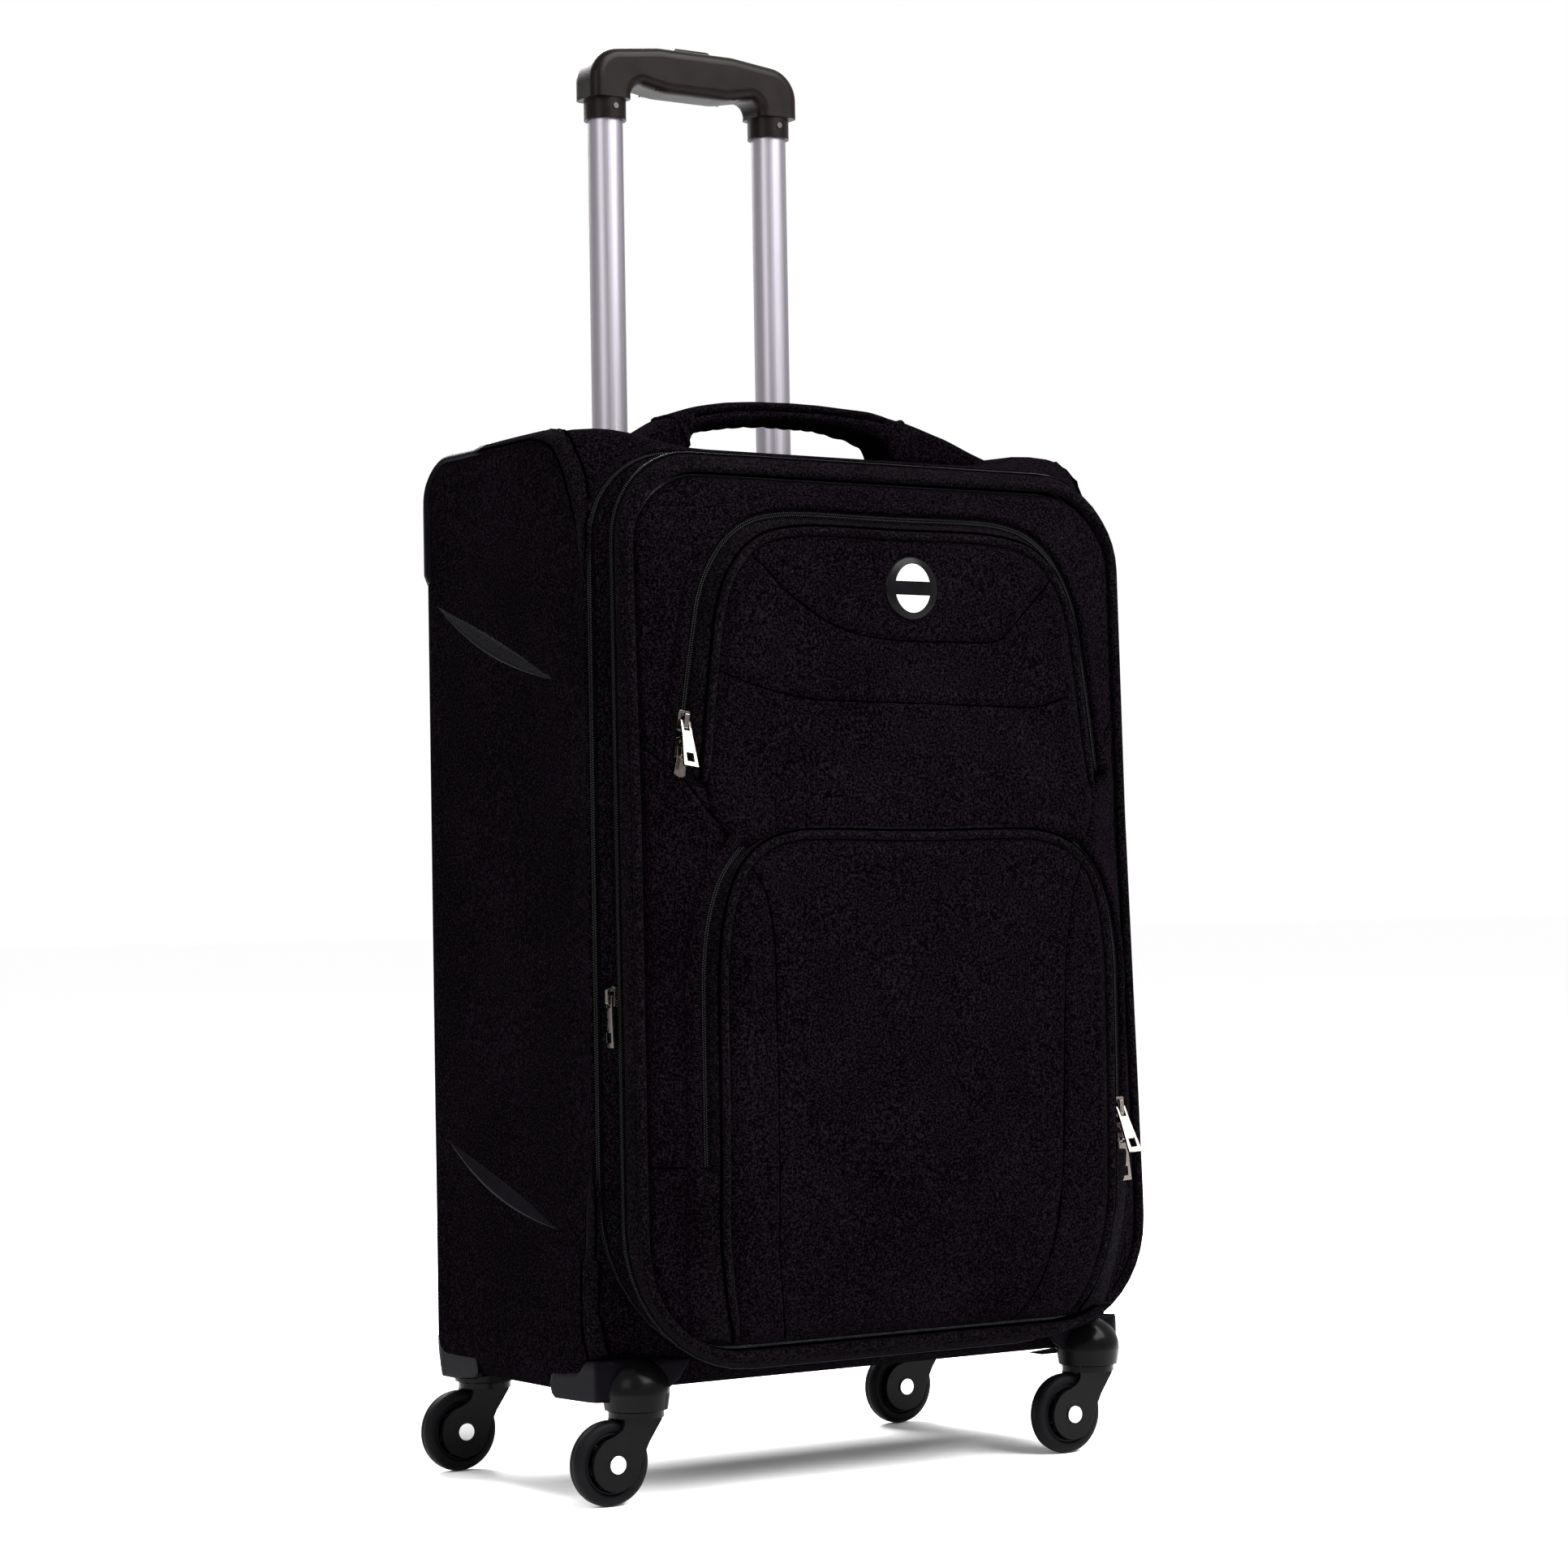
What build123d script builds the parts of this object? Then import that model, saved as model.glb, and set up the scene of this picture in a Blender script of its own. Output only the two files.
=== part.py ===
from build123d import *
import math
import os

# Softside upright suitcase with four swivel casters, an opening lid on a zipper, two front
# pockets, an expansion section and a two-stage trolley handle drawn half way out.
# Millimetres, +Z up, front towards -Y. The design is drawn about the centre of the caster grid
# and moved at the end so that the origin is the centre of the footprint on the floor.

# ---------------------------------------------------------------- driving dimensions
half_width = 198.0          # outer face of each side panel
case_front = -90.0          # front edge of the side panels
rim_front = -97.0           # front of the stiff rim that stands out of the case
case_back = 120.0           # outer face of the back panel
case_low = 66.0
case_high = 656.0
wall = 5.0                  # padded panel: foam board with its fabric
front_top_radius = 60.0
rear_top_radius = 38.0
foot_radius = 16.0
fit_gap = 0.4               # between soft pieces on different bodies

lid_half_width = 190.0
lid_low = 78.0
lid_high = 641.0
lid_depth = 28.0
lid_low_radius = 80.0       # of the opening, where the main zipper runs
lid_high_radius = 56.0
lid_front_radius = 50.0     # of the lid's piped front outline
lid_front_inset = 9.0       # the lid's front outline, inside the opening's outline at top and bottom
gusset_wall = 3.0

tube_x = 65.8
tube_y = 98.8
upper_tube_r = 12.0
tube_wall = 1.2
slide_gap = 0.06            # radial running clearance between stages
lower_tube_bore = upper_tube_r + slide_gap
lower_tube_r = lower_tube_bore + tube_wall
outer_tube_bore = lower_tube_r + slide_gap
outer_tube_r = outer_tube_bore + tube_wall
upper_travel = 232.0        # how far the upper stage is drawn out
lower_travel = 200.0
socket_low = 893.0          # lower edge of the grip's sockets
grip_high = 943.0

caster_x = 174.0
caster_y = 95.0
caster_trail = 20.0
wheel_r = 26.0
wheel_w = 12.0
axle_r = 3.0
stem_r = 4.0
running_gap = 0.05
housing_r = 21.0
housing_low = 57.0

pull_length = 31.0

footprint_shift = Vector(6.0, 21.5, 0.0)

nodes = {}


# ---------------------------------------------------------------- helpers
def block(x0, x1, y0, y1, z0, z1):
    """A box given by its limits on each axis."""
    size = Box(x1 - x0, y1 - y0, z1 - z0)
    return Pos((x0 + x1) / 2, (y0 + y1) / 2, (z0 + z1) / 2) * size


def rod(x, y, z0, z1, radius):
    """A vertical cylinder."""
    return Pos(x, y, (z0 + z1) / 2) * Cylinder(radius, z1 - z0)


def rod_y(x, z, y0, y1, radius):
    """A cylinder along Y."""
    return Pos(x, (y0 + y1) / 2, z) * (Rot(90, 0, 0) * Cylinder(radius, y1 - y0))


def rod_x(y, z, x0, x1, radius):
    """A cylinder along X."""
    return Pos((x0 + x1) / 2, y, z) * (Rot(0, 90, 0) * Cylinder(radius, x1 - x0))


def front_face(points, radii):
    """A face seen from the front, from (x, z) corners and the radius at each."""
    path = FilletPolyline(*[(x, z) for x, z in points], radius=radii, close=True)
    return Plane.XZ * make_face(path)


def front_slab(points, radii, y_back, y_front):
    """A plate between two Y positions with an outline given as seen from the front."""
    return Pos(0, y_back, 0) * extrude(front_face(points, radii), y_back - y_front)


def side_slab(points, radii, x0, x1):
    """A plate between two X positions with an outline of (y, z) corners."""
    path = FilletPolyline(*points, radius=radii, close=True)
    return Pos(x0, 0, 0) * extrude(Plane.YZ * make_face(path), x1 - x0)


def rounded_ring_points(half, low, high):
    """Corners of an upright rectangle, clockwise from the lower left."""
    return [(-half, low), (-half, high), (half, high), (half, low)]


def upright_ring(half, low, high, thick, y_back, y_front):
    """A ring that follows the opening: large corners below, smaller ones above."""
    grown = half - lid_half_width
    radii = [lid_low_radius + grown, lid_high_radius + grown, lid_high_radius + grown,
             lid_low_radius + grown]
    inner_radii = [r - thick for r in radii]
    outer = front_slab(rounded_ring_points(half, low, high), radii, y_back, y_front)
    inner_points = rounded_ring_points(half - thick, low + thick, high - thick)
    return outer - front_slab(inner_points, inner_radii, y_back, y_front)


def mirrored(part):
    """The same part on the other side of the middle plane."""
    return mirror(part, about=Plane.YZ)


def group(*parts):
    """Separate solids that share one node."""
    solids = [s for part in parts for s in part.solids()]
    return Compound(children=solids)


def add(name, shape):
    nodes[name] = shape


# ---------------------------------------------------------------- case shell
def case_profile(inset, x0, x1):
    """The case's side outline, pulled in by an inset and extruded along X."""
    corners = [
        (case_front + inset, case_low + inset),
        (case_front + inset, case_high - inset),
        (case_back - inset, case_high - inset),
        (case_back - inset, case_low + inset),
    ]
    radii = [
        foot_radius - inset,
        front_top_radius - inset,
        rear_top_radius - inset,
        foot_radius - inset,
    ]
    return side_slab(corners, radii, x0, x1)


cup_half = 98.0
cup_front = 70.0
cup_low = 628.0
rim_depth = 12.0            # depth of the stiff rim that carries the main zipper
inner_half = half_width - wall
rim_half = lid_half_width + 1.0
tape_w = 0.8                # thickness of a zipper tape


def shell_panels():
    add("side_panel_left", case_profile(0, -half_width, -inner_half))
    add("side_panel_right", case_profile(0, inner_half, half_width))
    band = case_profile(0, -inner_half, inner_half) - case_profile(wall, -inner_half, inner_half)
    cup_space = block(-cup_half, cup_half, cup_front, case_back + 1, cup_low, case_high + 1)
    rim_back = rim_front + rim_depth
    rim_space = block(-inner_half, inner_half, rim_front, rim_back, 0, lid_high)
    top_split = case_high - rear_top_radius
    top = band & block(-inner_half, inner_half, case_front - 1, case_back + 1, 570, case_high + 1)
    top = top - block(-inner_half, inner_half, 0, case_back + 1, 560, top_split)
    add("top_panel", top - cup_space - rim_space)
    back = block(-inner_half, inner_half, case_back - wall, case_back, case_low + foot_radius, top_split)
    add("back_panel", back - cup_space)
    foot_top = case_low + foot_radius
    bottom = band & block(-inner_half, inner_half, case_front - 1, case_back + 1, 0, foot_top)
    add("bottom_panel", bottom - rim_space)


def opening_rim():
    """The stiff hoop round the front opening, which holds the main zipper."""
    rim_back = rim_front + rim_depth
    rim = upright_ring(rim_half, lid_low - 1, lid_high + 1, 8.0, rim_back, rim_front)
    add("opening_frame", rim)
    tape = upright_ring(rim_half + tape_w, lid_low - 1 - tape_w, lid_high + 1 + tape_w, tape_w,
                        case_front - 0.4, rim_front)
    add("main_zipper", tape)


def base_and_lining():
    lip = 3.0
    side, front, rear = inner_half - 1, case_front + foot_radius, case_back - foot_radius
    floor = case_low + wall
    tray = block(-side, side, front, rear, floor, floor + 8)
    hollow = block(-side + lip, side - lip, front + lip, rear - lip, floor + lip, case_high)
    add("base_tray", tray - hollow)
    # five flat cloths inside the panels, the rear one in front of the trolley tubes
    cloth = 1.0
    low, high = 90.0, 626.0
    front, rear = -74.0, tube_y - outer_tube_r - 3
    cloths = [
        block(-side, side, front, rear, low - cloth, low),
        block(-side, side, front, rear, high - cloth, high),
        block(-side, side, rear - cloth, rear, low, high - cloth),
        block(-side, -side + cloth, front, rear - cloth, low, high - cloth),
        block(side - cloth, side, front, rear - cloth, low, high - cloth),
    ]
    add("lining", group(*cloths))


# ---------------------------------------------------------------- moulded trim on the case
guard_skin = 3.0


def front_guard():
    """The front left corner guard: a shell round the corner with a scoop for the housing."""
    x_out, y_out = -half_width - guard_skin, case_front - guard_skin
    z_out = case_low - guard_skin
    body = block(x_out, -134, y_out, -36, z_out, 92)
    body = fillet(body.edges().filter_by(Axis.Z).sort_by(Axis.X)[:2].sort_by(Axis.Y)[0], 9)
    body = body - block(-half_width, 0, case_front, 200, case_low, 200)
    side_cut = [(-200, 94), (-200, 200), (0, 200), (0, 50), (-39, 50), (-39, 76), (-44, 80),
                (-86, 80), (-90, 92)]
    body = body - side_slab(side_cut, [0, 0, 0, 0, 6, 6, 2, 3, 3], -half_width - 20, -half_width)
    front_cut = [(-190, 91), (-190, 200), (0, 200), (0, 40), (-160, 40), (-150, 66), (-145.5, 82.5),
                 (-153, 86)]
    body = body - front_slab(front_cut, [0, 0, 0, 0, 0, 5, 2, 6], case_front, case_front - 20)
    base_cut = block(-134 - 14, 0, -300, -36 - 30, 0, case_low)
    return body - base_cut


def rear_guard():
    """The rear left corner guard."""
    x_out, y_out = -half_width - guard_skin, case_back + guard_skin
    z_out = case_low - guard_skin
    body = block(x_out, -134, 46, y_out, z_out, 92)
    body = fillet(body.edges().filter_by(Axis.Z).sort_by(Axis.X)[:2].sort_by(Axis.Y)[1], 9)
    body = body - block(-half_width, 0, 0, case_back, case_low, 200)
    side_cut = [(200, 90), (200, 200), (0, 200), (0, 50), (56, 50), (60, 70), (76, 80), (104, 80),
                (108, 90)]
    body = body - side_slab(side_cut, [0, 0, 0, 0, 2, 6, 6, 3, 3], -half_width - 20, -half_width)
    back_cut = [(-190, 91), (-190, 200), (0, 200), (0, 40), (-160, 40), (-150, 66), (-143.5, 84.5),
                (-152, 86.5)]
    return body - front_slab(back_cut, [0, 0, 0, 0, 0, 5, 2, 6], case_back + 20, case_back)


def caster_housing(cx, cy):
    """A domed bearing housing that stands in the corner guard's scoop."""
    dome = Pos(cx, cy, housing_low + 10) * Sphere(housing_r)
    dome = dome & block(cx - 30, cx + 30, cy - 30, cy + 30, housing_low + 10, 120)
    skirt = Pos(cx, cy, housing_low + 5) * Cone(housing_r - 1.5, housing_r, 10)
    bore = rod(cx, cy, 0, case_low + 12, stem_r + running_gap)
    return (dome + skirt) - bore


def moulded_trim():
    scoop = housing_r + 0.8
    guards = {"front": (front_guard(), -caster_y), "rear": (rear_guard(), caster_y)}
    for end, (guard, cy) in guards.items():
        hole = rod(-caster_x, cy, 0, 100, scoop)
        left = guard - hole
        add(f"corner_guard_{end}_left", left)
        add(f"corner_guard_{end}_right", mirrored(left))
    housings = [caster_housing(sx * caster_x, sy * caster_y) for sx in (-1, 1) for sy in (-1, 1)]
    add("caster_housings", group(*housings))
    for name in ("bottom_panel", "side_panel_left", "side_panel_right", "base_tray"):
        for sx in (-1, 1):
            for sy in (-1, 1):
                nodes[name] = nodes[name] - rod(sx * caster_x, sy * caster_y, 0, 90, scoop)
    # the rim stops short of the housings
    for sx in (-1, 1):
        nodes["opening_frame"] = nodes["opening_frame"] - rod(sx * caster_x, -caster_y, 0, 90, scoop)


def top_corner_guard():
    """The moulded strip that wraps the rear top edge on the left side."""
    skin, grip_on_side, grip_on_back = 2.0, 9.0, 24.0
    outer = case_profile(-skin, -half_width - skin, -half_width + grip_on_back)
    wrap = outer - case_profile(0, -half_width, -half_width + grip_on_back)
    wrap = wrap - case_profile(grip_on_side, -half_width - skin, -half_width)
    kept = block(-half_width - 5, 0, 30, case_back + 10, 582, case_high + 10)
    strip = wrap & kept
    return strip - block(-half_width - 5, 0, 0, 100, 0, case_high - grip_on_side - 1)


def side_fin(y_rear, z_rear, y_front, z_front):
    """A lens-shaped skid plate on the left side panel, from its rear to its front tip."""
    length = math.hypot(y_front - y_rear, z_front - z_rear)
    tilt = math.degrees(math.atan2(z_rear - z_front, y_rear - y_front))
    belly, height = 9.0, 7.0
    outline = make_face([
        ThreePointArc((-length / 2, 0), (0, belly), (length / 2, 0)),
        ThreePointArc((length / 2, 0), (0, -belly), (-length / 2, 0)),
    ])
    lens = extrude(Plane.YZ * outline, 20)
    crown_r = (length * length / 4 + height * height) / (2 * height)
    crown = Pos(height - crown_r, 0, 0) * (Rot(0, 0, 0) * Cylinder(crown_r, 60))
    plate = lens & crown
    plate = Rot(tilt, 0, 0) * plate
    plate = mirrored(plate)
    return Pos(-half_width, (y_rear + y_front) / 2, (z_rear + z_front) / 2) * plate


def top_guards_and_fins():
    strip = top_corner_guard()
    add("top_corner_guards", group(strip, mirrored(strip)))
    upper = side_fin(97, 564, -58, 503)
    lower = side_fin(94, 216, -54, 164)
    add("side_fins", group(upper, lower, mirrored(upper), mirrored(lower)))


# ---------------------------------------------------------------- carry handle
def carry_handle():
    rise, underside, span, inner_span = 687.0, 672.0, 138.0, 94.0
    handle_y, handle_w = -40.0, 34.0
    base = case_high
    outline = make_face([
        ThreePointArc((-span, base), (0, rise), (span, base)),
        Line((span, base), (inner_span, base)),
        ThreePointArc((inner_span, base), (0, underside), (-inner_span, base)),
        Line((-inner_span, base), (-span, base)),
    ])
    arch = extrude(Plane.XZ * outline, handle_w)
    add("carry_handle", Pos(0, handle_y + handle_w / 2, 0) * arch)


# ---------------------------------------------------------------- trolley
collar_high = 659.0
tubes_low = case_low + foot_radius + 2
lower_stage_low = 332.0
lower_stage_high = 651.0
upper_stage_low = 572.0


def tube(x, z0, z1, radius, bore):
    return rod(x, tube_y, z0, z1, radius) - rod(x, tube_y, z0 - 1, z1 + 1, bore)


def pair(make):
    """The same piece on both trolley tubes."""
    return group(make(-tube_x), make(tube_x))


def trolley_case_parts():
    add("outer_tubes", pair(lambda x: tube(x, tubes_low, 655, outer_tube_r, outer_tube_bore)))
    half, front = tube_x + 22, tube_y - 17
    foot = block(-half, half, front, case_back - foot_radius, case_low + wall, tubes_low)
    foot = foot + block(-half, half, front, case_back - wall - 0.5, case_low + foot_radius,
                        tubes_low + 14)
    for x in (-tube_x, tube_x):
        foot = foot - rod(x, tube_y, tubes_low, 200, outer_tube_r)
    nodes["base_tray"] = nodes["base_tray"] - block(
        -half - 1, half + 1, front - 1, case_back, 0, 200)
    add("trolley_foot", foot)
    shell = case_profile(0, -cup_half, cup_half)
    shell = shell & block(-cup_half, cup_half, cup_front, case_back + 1, cup_low, case_high + 1)
    recess = block(-cup_half + 12, cup_half - 12, cup_front + 7, tube_y + 15, cup_low + 6, 700)
    cup = shell - recess
    for x in (-tube_x, tube_x):
        cup = cup + rod(x, tube_y, cup_low, collar_high, outer_tube_r + 3)
    for x in (-tube_x, tube_x):
        cup = cup - rod(x, tube_y, 0, 656, outer_tube_r)
        cup = cup - rod(x, tube_y, 0, 700, lower_tube_r + slide_gap)
    add("trolley_cup", cup)


def trolley_stages():
    add("lower_stage_tubes", pair(
        lambda x: tube(x, lower_stage_low, lower_stage_high, lower_tube_r, lower_tube_bore)))
    add("upper_stage_tubes", pair(
        lambda x: tube(x, upper_stage_low, socket_low + 12, upper_tube_r, upper_tube_r - tube_wall)))


socket_r = 14.3
bar_depth = 30.0
channel_w = 8.0
button_half = 14.0
button_y_half = 7.0
button_travel = 4.0


def grip():
    """The moulded grip: two sockets and a bar whose underside sags in the middle."""
    outer = tube_x + socket_r + 2
    inner = tube_x - socket_r
    face = front_face(
        [(-outer, socket_low + 14), (-outer, grip_high - 4), (-30, grip_high + 2), (30, grip_high + 2),
         (outer, grip_high - 4), (outer, socket_low + 14), (inner, socket_low + 14),
         (inner, grip_high - 24), (24, grip_high - 29), (-24, grip_high - 29),
         (-inner, grip_high - 24), (-inner, socket_low + 14)],
        [0, 22, 40, 40, 22, 0, 0, 8, 30, 30, 8, 0])
    bar = Pos(0, tube_y + bar_depth / 2, 0) * extrude(face, bar_depth)
    long_edges = bar.edges().filter_by(lambda e: abs(e.center().Y - tube_y) > bar_depth / 2 - 0.1)
    bar = fillet(long_edges.filter_by(lambda e: e.center().Z > socket_low + 16), 7)
    for x in (-tube_x, tube_x):
        bar = bar + rod(x, tube_y, socket_low, socket_low + 22, socket_r)
    for x in (-tube_x, tube_x):
        bar = bar - rod(x, tube_y, socket_low - 1, socket_low + 12, upper_tube_r)
        bar = bar - rod(x, tube_y, socket_low, grip_high - 6, 4.0)
    top = grip_high + 3
    bar = bar - block(-tube_x - 4, tube_x + 4, tube_y - channel_w / 2, tube_y + channel_w / 2,
                      grip_high - 17, grip_high - 6)
    bar = bar - block(-button_half - 0.3, button_half + 0.3, tube_y - button_y_half - 0.3,
                      tube_y + button_y_half + 0.3, grip_high - 12, top + 5)
    add("grip", bar)
    screws = []
    for x in (-tube_x, tube_x):
        screws.append(rod_y(x, socket_low + 8, tube_y - socket_r - 0.6, tube_y - upper_tube_r, 2.0))
        nodes["grip"] = nodes["grip"] - screws[-1]
    add("grip_screws", group(*screws))


def button_and_linkage():
    low, high = grip_high - 12 + button_travel + 0.4, grip_high + 4.5
    cap = block(-button_half, button_half, tube_y - button_y_half, tube_y + button_y_half, low, high)
    cap = fillet(cap.edges().group_by(Axis.Z)[-1], 2.5)
    add("grip_button", cap)
    # a bar under the button pushes a rod down each upper tube to draw the lock pins in
    bar = block(-tube_x - 3, tube_x + 3, tube_y - 3, tube_y + 3, low - 4, low)
    for x in (-tube_x, tube_x):
        bar = bar + rod(x, tube_y, upper_stage_low + 10, low - 1, 2.5)
    add("lock_linkage", bar)


# ---------------------------------------------------------------- casters
arm_gap = 1.0
arm_w = 3.2
boss_r = 16.5


def caster(name, cx, cy):
    """A fork with its stem, a spoked wheel and its axle, trailing towards -X."""
    wx = cx - caster_trail
    crown_high = housing_low - 0.6
    arm = make_face(FilletPolyline(
        (-14, crown_high), (16, crown_high), (3, 38), (-4, 24), (-22, 24), (-27, 40), (-14, 47),
        radius=[0, 4, 12, 0, 0, 3, 8], close=True))
    inner = wheel_w / 2 + arm_gap
    plate = extrude(Plane.XZ * arm, arm_w)
    fork = None
    for y_front in (-inner, inner + arm_w):
        cheek = Pos(cx, cy + y_front, 0) * plate
        boss = rod_y(wx, wheel_r, cy + y_front - arm_w, cy + y_front, boss_r)
        cheek = cheek + boss
        fork = cheek if fork is None else fork + cheek
    crown = rod(cx, cy, crown_high - 4, crown_high, 17)
    stem = rod(cx, cy, housing_low - 2, case_low + 9, stem_r)
    fork = fork + crown + stem
    fork = fork - rod_y(wx, wheel_r, cy - 20, cy + 20, axle_r)
    add(f"caster_fork_{name}", fork)

    tyre = rod_y(wx, wheel_r, cy - wheel_w / 2, cy + wheel_w / 2, wheel_r)
    tyre = fillet(tyre.edges().filter_by(GeomType.CIRCLE), 3.5)
    tyre = tyre - rod_y(wx, wheel_r, cy - 10, cy + 10, 19)
    hub = rod_y(wx, wheel_r, cy - 5.5, cy + 5.5, 7.0)
    wheel = tyre + hub
    for k in range(6):
        spoke = block(5, 20, -4.5, 4.5, -1.4, 1.4)
        wheel = wheel + Pos(wx, cy, wheel_r) * (Rot(0, 60 * k, 0) * spoke)
    wheel = wheel - rod_y(wx, wheel_r, cy - 10, cy + 10, axle_r + running_gap)
    add(f"caster_wheel_{name}", wheel)

    half = inner + arm_w
    axle = rod_y(wx, wheel_r, cy - half, cy + half, axle_r)
    for side in (-1, 1):
        cap = rod_y(wx, wheel_r, cy + side * (half + 0.6) - 0.6, cy + side * (half + 0.6) + 0.6, 5.5)
        axle = axle + cap
    add(f"caster_axle_{name}", axle)


# ---------------------------------------------------------------- lid
lid_back = rim_front - fit_gap
lid_front = lid_back - lid_depth
ring_split = lid_back - 13.0        # the expansion zipper joins the two rings here


upper_zip_step = 5.0                # how far each pocket's zipper stands off the lid
lower_zip_step = 22.0
lid_face_low = lid_low + lid_front_inset
lid_face_high = lid_high - lid_front_inset


def lid():
    add("lid_gusset", upright_ring(lid_half_width, lid_low, lid_high, gusset_wall,
                                   lid_back, ring_split))
    band_front = ring_split - 3.0
    add("expansion_gusset", upright_ring(lid_half_width - 4, lid_low + 4, lid_high - 4, 2.0,
                                         ring_split - 0.3, band_front + 0.3))
    add("expansion_zipper", upright_ring(lid_half_width + tape_w, lid_low - tape_w, lid_high + tape_w,
                                         tape_w, ring_split + 9, ring_split + 1))
    face_points = rounded_ring_points(lid_half_width - 1, lid_face_low, lid_face_high)
    panel = front_slab(face_points, [lid_front_radius] * 4, band_front, lid_front)
    hollow_points = rounded_ring_points(lid_half_width - 5, lid_face_low + 4, lid_face_high - 4)
    hollow = front_slab(hollow_points, [lid_front_radius - 4] * 4, band_front, lid_front + 4)
    add("lid_panel", panel - hollow)


# each pocket is a low tier as wide as its zipper and a padded front tier inside it
def pockets():
    upper_zip_y = lid_front - upper_zip_step
    upper_front = lid_front - 20
    low_tier = [(-166, 444), (-150, 560), (-146, 608), (146, 608), (150, 560), (166, 444),
                (132, 424), (-132, 424)]
    front_tier = [(-150, 440), (-134, 545), (-128, 595), (128, 595), (134, 545), (150, 440),
                  (128, 424), (-128, 424)]
    tier_radii = [8, 20, 46, 46, 20, 8, 8, 8]
    upper_face = front_slab(front_tier, tier_radii, upper_zip_y, upper_front)
    add("upper_pocket", group(front_slab(low_tier, tier_radii, lid_front, upper_zip_y), upper_face))

    lower_zip_y = lid_front - lower_zip_step
    lower_front = lid_front - 31
    low_tier = [(-166, 100), (-168, 230), (-158, 365), (-150, 419), (150, 419), (158, 365),
                (168, 230), (166, 100)]
    front_tier = [(-146, 100), (-148, 230), (-138, 365), (-130, 404), (130, 404), (138, 365),
                  (148, 230), (146, 100)]
    tier_radii = [30, 60, 30, 46, 46, 30, 60, 30]
    lower_face = front_slab(front_tier, tier_radii, lower_zip_y, lower_front)
    add("lower_pocket", group(front_slab(low_tier, tier_radii, lid_front, lower_zip_y), lower_face))

    upper_strip = front_slab(
        [(-165, 450), (-149, 560), (-145, 607), (145, 607), (149, 560), (165, 450),
         (154, 450), (139, 555), (135, 597), (-135, 597), (-139, 555), (-154, 450)],
        [0, 20, 45, 45, 20, 0, 0, 16, 36, 36, 16, 0], upper_zip_y, upper_zip_y - tape_w)
    upper_strip = upper_strip - upper_face
    lower_strip = front_slab(
        [(-167, 200), (-157, 365), (-149, 418), (149, 418), (157, 365), (167, 200),
         (156, 200), (146, 360), (139, 408), (-139, 408), (-146, 360), (-156, 200)],
        [0, 30, 45, 45, 30, 0, 0, 20, 36, 36, 20, 0], lower_zip_y, lower_zip_y - tape_w)
    add("pocket_zippers", group(upper_strip, lower_strip))

    badge_x, badge_z, badge_r = 5.0, 559.0, 20.0
    disc = rod_y(badge_x, badge_z, upper_front - 4.0, upper_front, badge_r)
    add("badge", fillet(disc.edges().group_by(Axis.Y)[0], 1.2))


# ---------------------------------------------------------------- zipper sliders and pulls
def slider_shape():
    """A slider facing -Y whose tape runs along Z; the pull's axis crosses its bridge."""
    plate = block(-4.6, 4.6, -2.6, 0, -6.5, 6.5)
    plate = fillet(plate.edges().filter_by(Axis.Y), 2.0)
    bridge = block(-1.5, 1.5, -5.8, -2.6, -5, 5) - block(-2, 2, -4.5, -2.6, -3, 3)
    return plate + fillet(bridge.edges().filter_by(Axis.X).group_by(Axis.Y)[0], 1.2)


pin_out = 3.5                       # the pull's axis stands this far off the tape


def pull_shape():
    """A pull that hangs down from its cross bar, with a slot for the bridge and a window."""
    bar_r, half_top, half_foot = 0.8, 3.6, 5.2
    face = make_face(Polyline((-half_top, 0), (half_top, 0), (half_top, -9), (half_foot, -pull_length),
                              (-half_foot, -pull_length), (-half_top, -9), close=True))
    plate = Pos(0, -pin_out + bar_r, 0) * extrude(Plane.XZ * face, 2 * bar_r)
    reach = 2.0
    slot = block(-2.1, 2.1, -pin_out - reach, -pin_out + reach, -6.8, reach)
    window = block(-2.6, 2.6, -pin_out - reach, -pin_out + reach, -pull_length + 3, -pull_length + 9)
    return plate - slot - window + rod_x(-pin_out, 0, -half_top, half_top, bar_r)


resting_lean = 24.0                 # an upper pull lies on the slider below it
parked_gap = 16.5                   # between two sliders parked nose to nose


def swung(pull, lean):
    """A pull swung outwards about its cross bar."""
    return Pos(0, -pin_out, 0) * (Rot(-lean, 0, 0) * (Pos(0, pin_out, 0) * pull))


def slider_with_pull(name, spot, turn, tape_tilt, lean):
    """One slider and its pull at a spot on a tape; the tilt is that of the tape seen from the front."""
    for kind, shape in (("slider", slider_shape()), ("pull", swung(pull_shape(), lean))):
        add(f"{kind}_{name}", Pos(*spot) * (Rot(0, tape_tilt, 0) * (Rot(0, 0, turn) * shape)))


def parked_pair(name, spot, turn, tape_tilt):
    """Two sliders nose to nose: the upper one's pull leans out over the lower slider."""
    x, y, z = spot
    tilt = math.radians(tape_tilt)
    below = (x - parked_gap * math.sin(tilt), y, z - parked_gap * math.cos(tilt))
    slider_with_pull(f"{name}_1", spot, turn, tape_tilt, resting_lean)
    slider_with_pull(f"{name}_2", below, turn, tape_tilt, 0.0)


def sliders():
    on_tape = tape_w + fit_gap
    side_x = lid_half_width + on_tape
    upper_tilt = math.degrees(math.atan2(16, 110))
    lower_tilt = math.degrees(math.atan2(-10, 165))
    parked_pair("upper_pocket", (-156.1, lid_front - upper_zip_step - on_tape, 474), 0, upper_tilt)
    parked_pair("lower_pocket", (159.8, lid_front - lower_zip_step - on_tape, 228), 0, lower_tilt)
    parked_pair("main", (side_x, lid_back - 5.2, 250), 90, 0)
    slider_with_pull("expansion", (-side_x, ring_split + 5, 308), -90, 0, 0)


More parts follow.
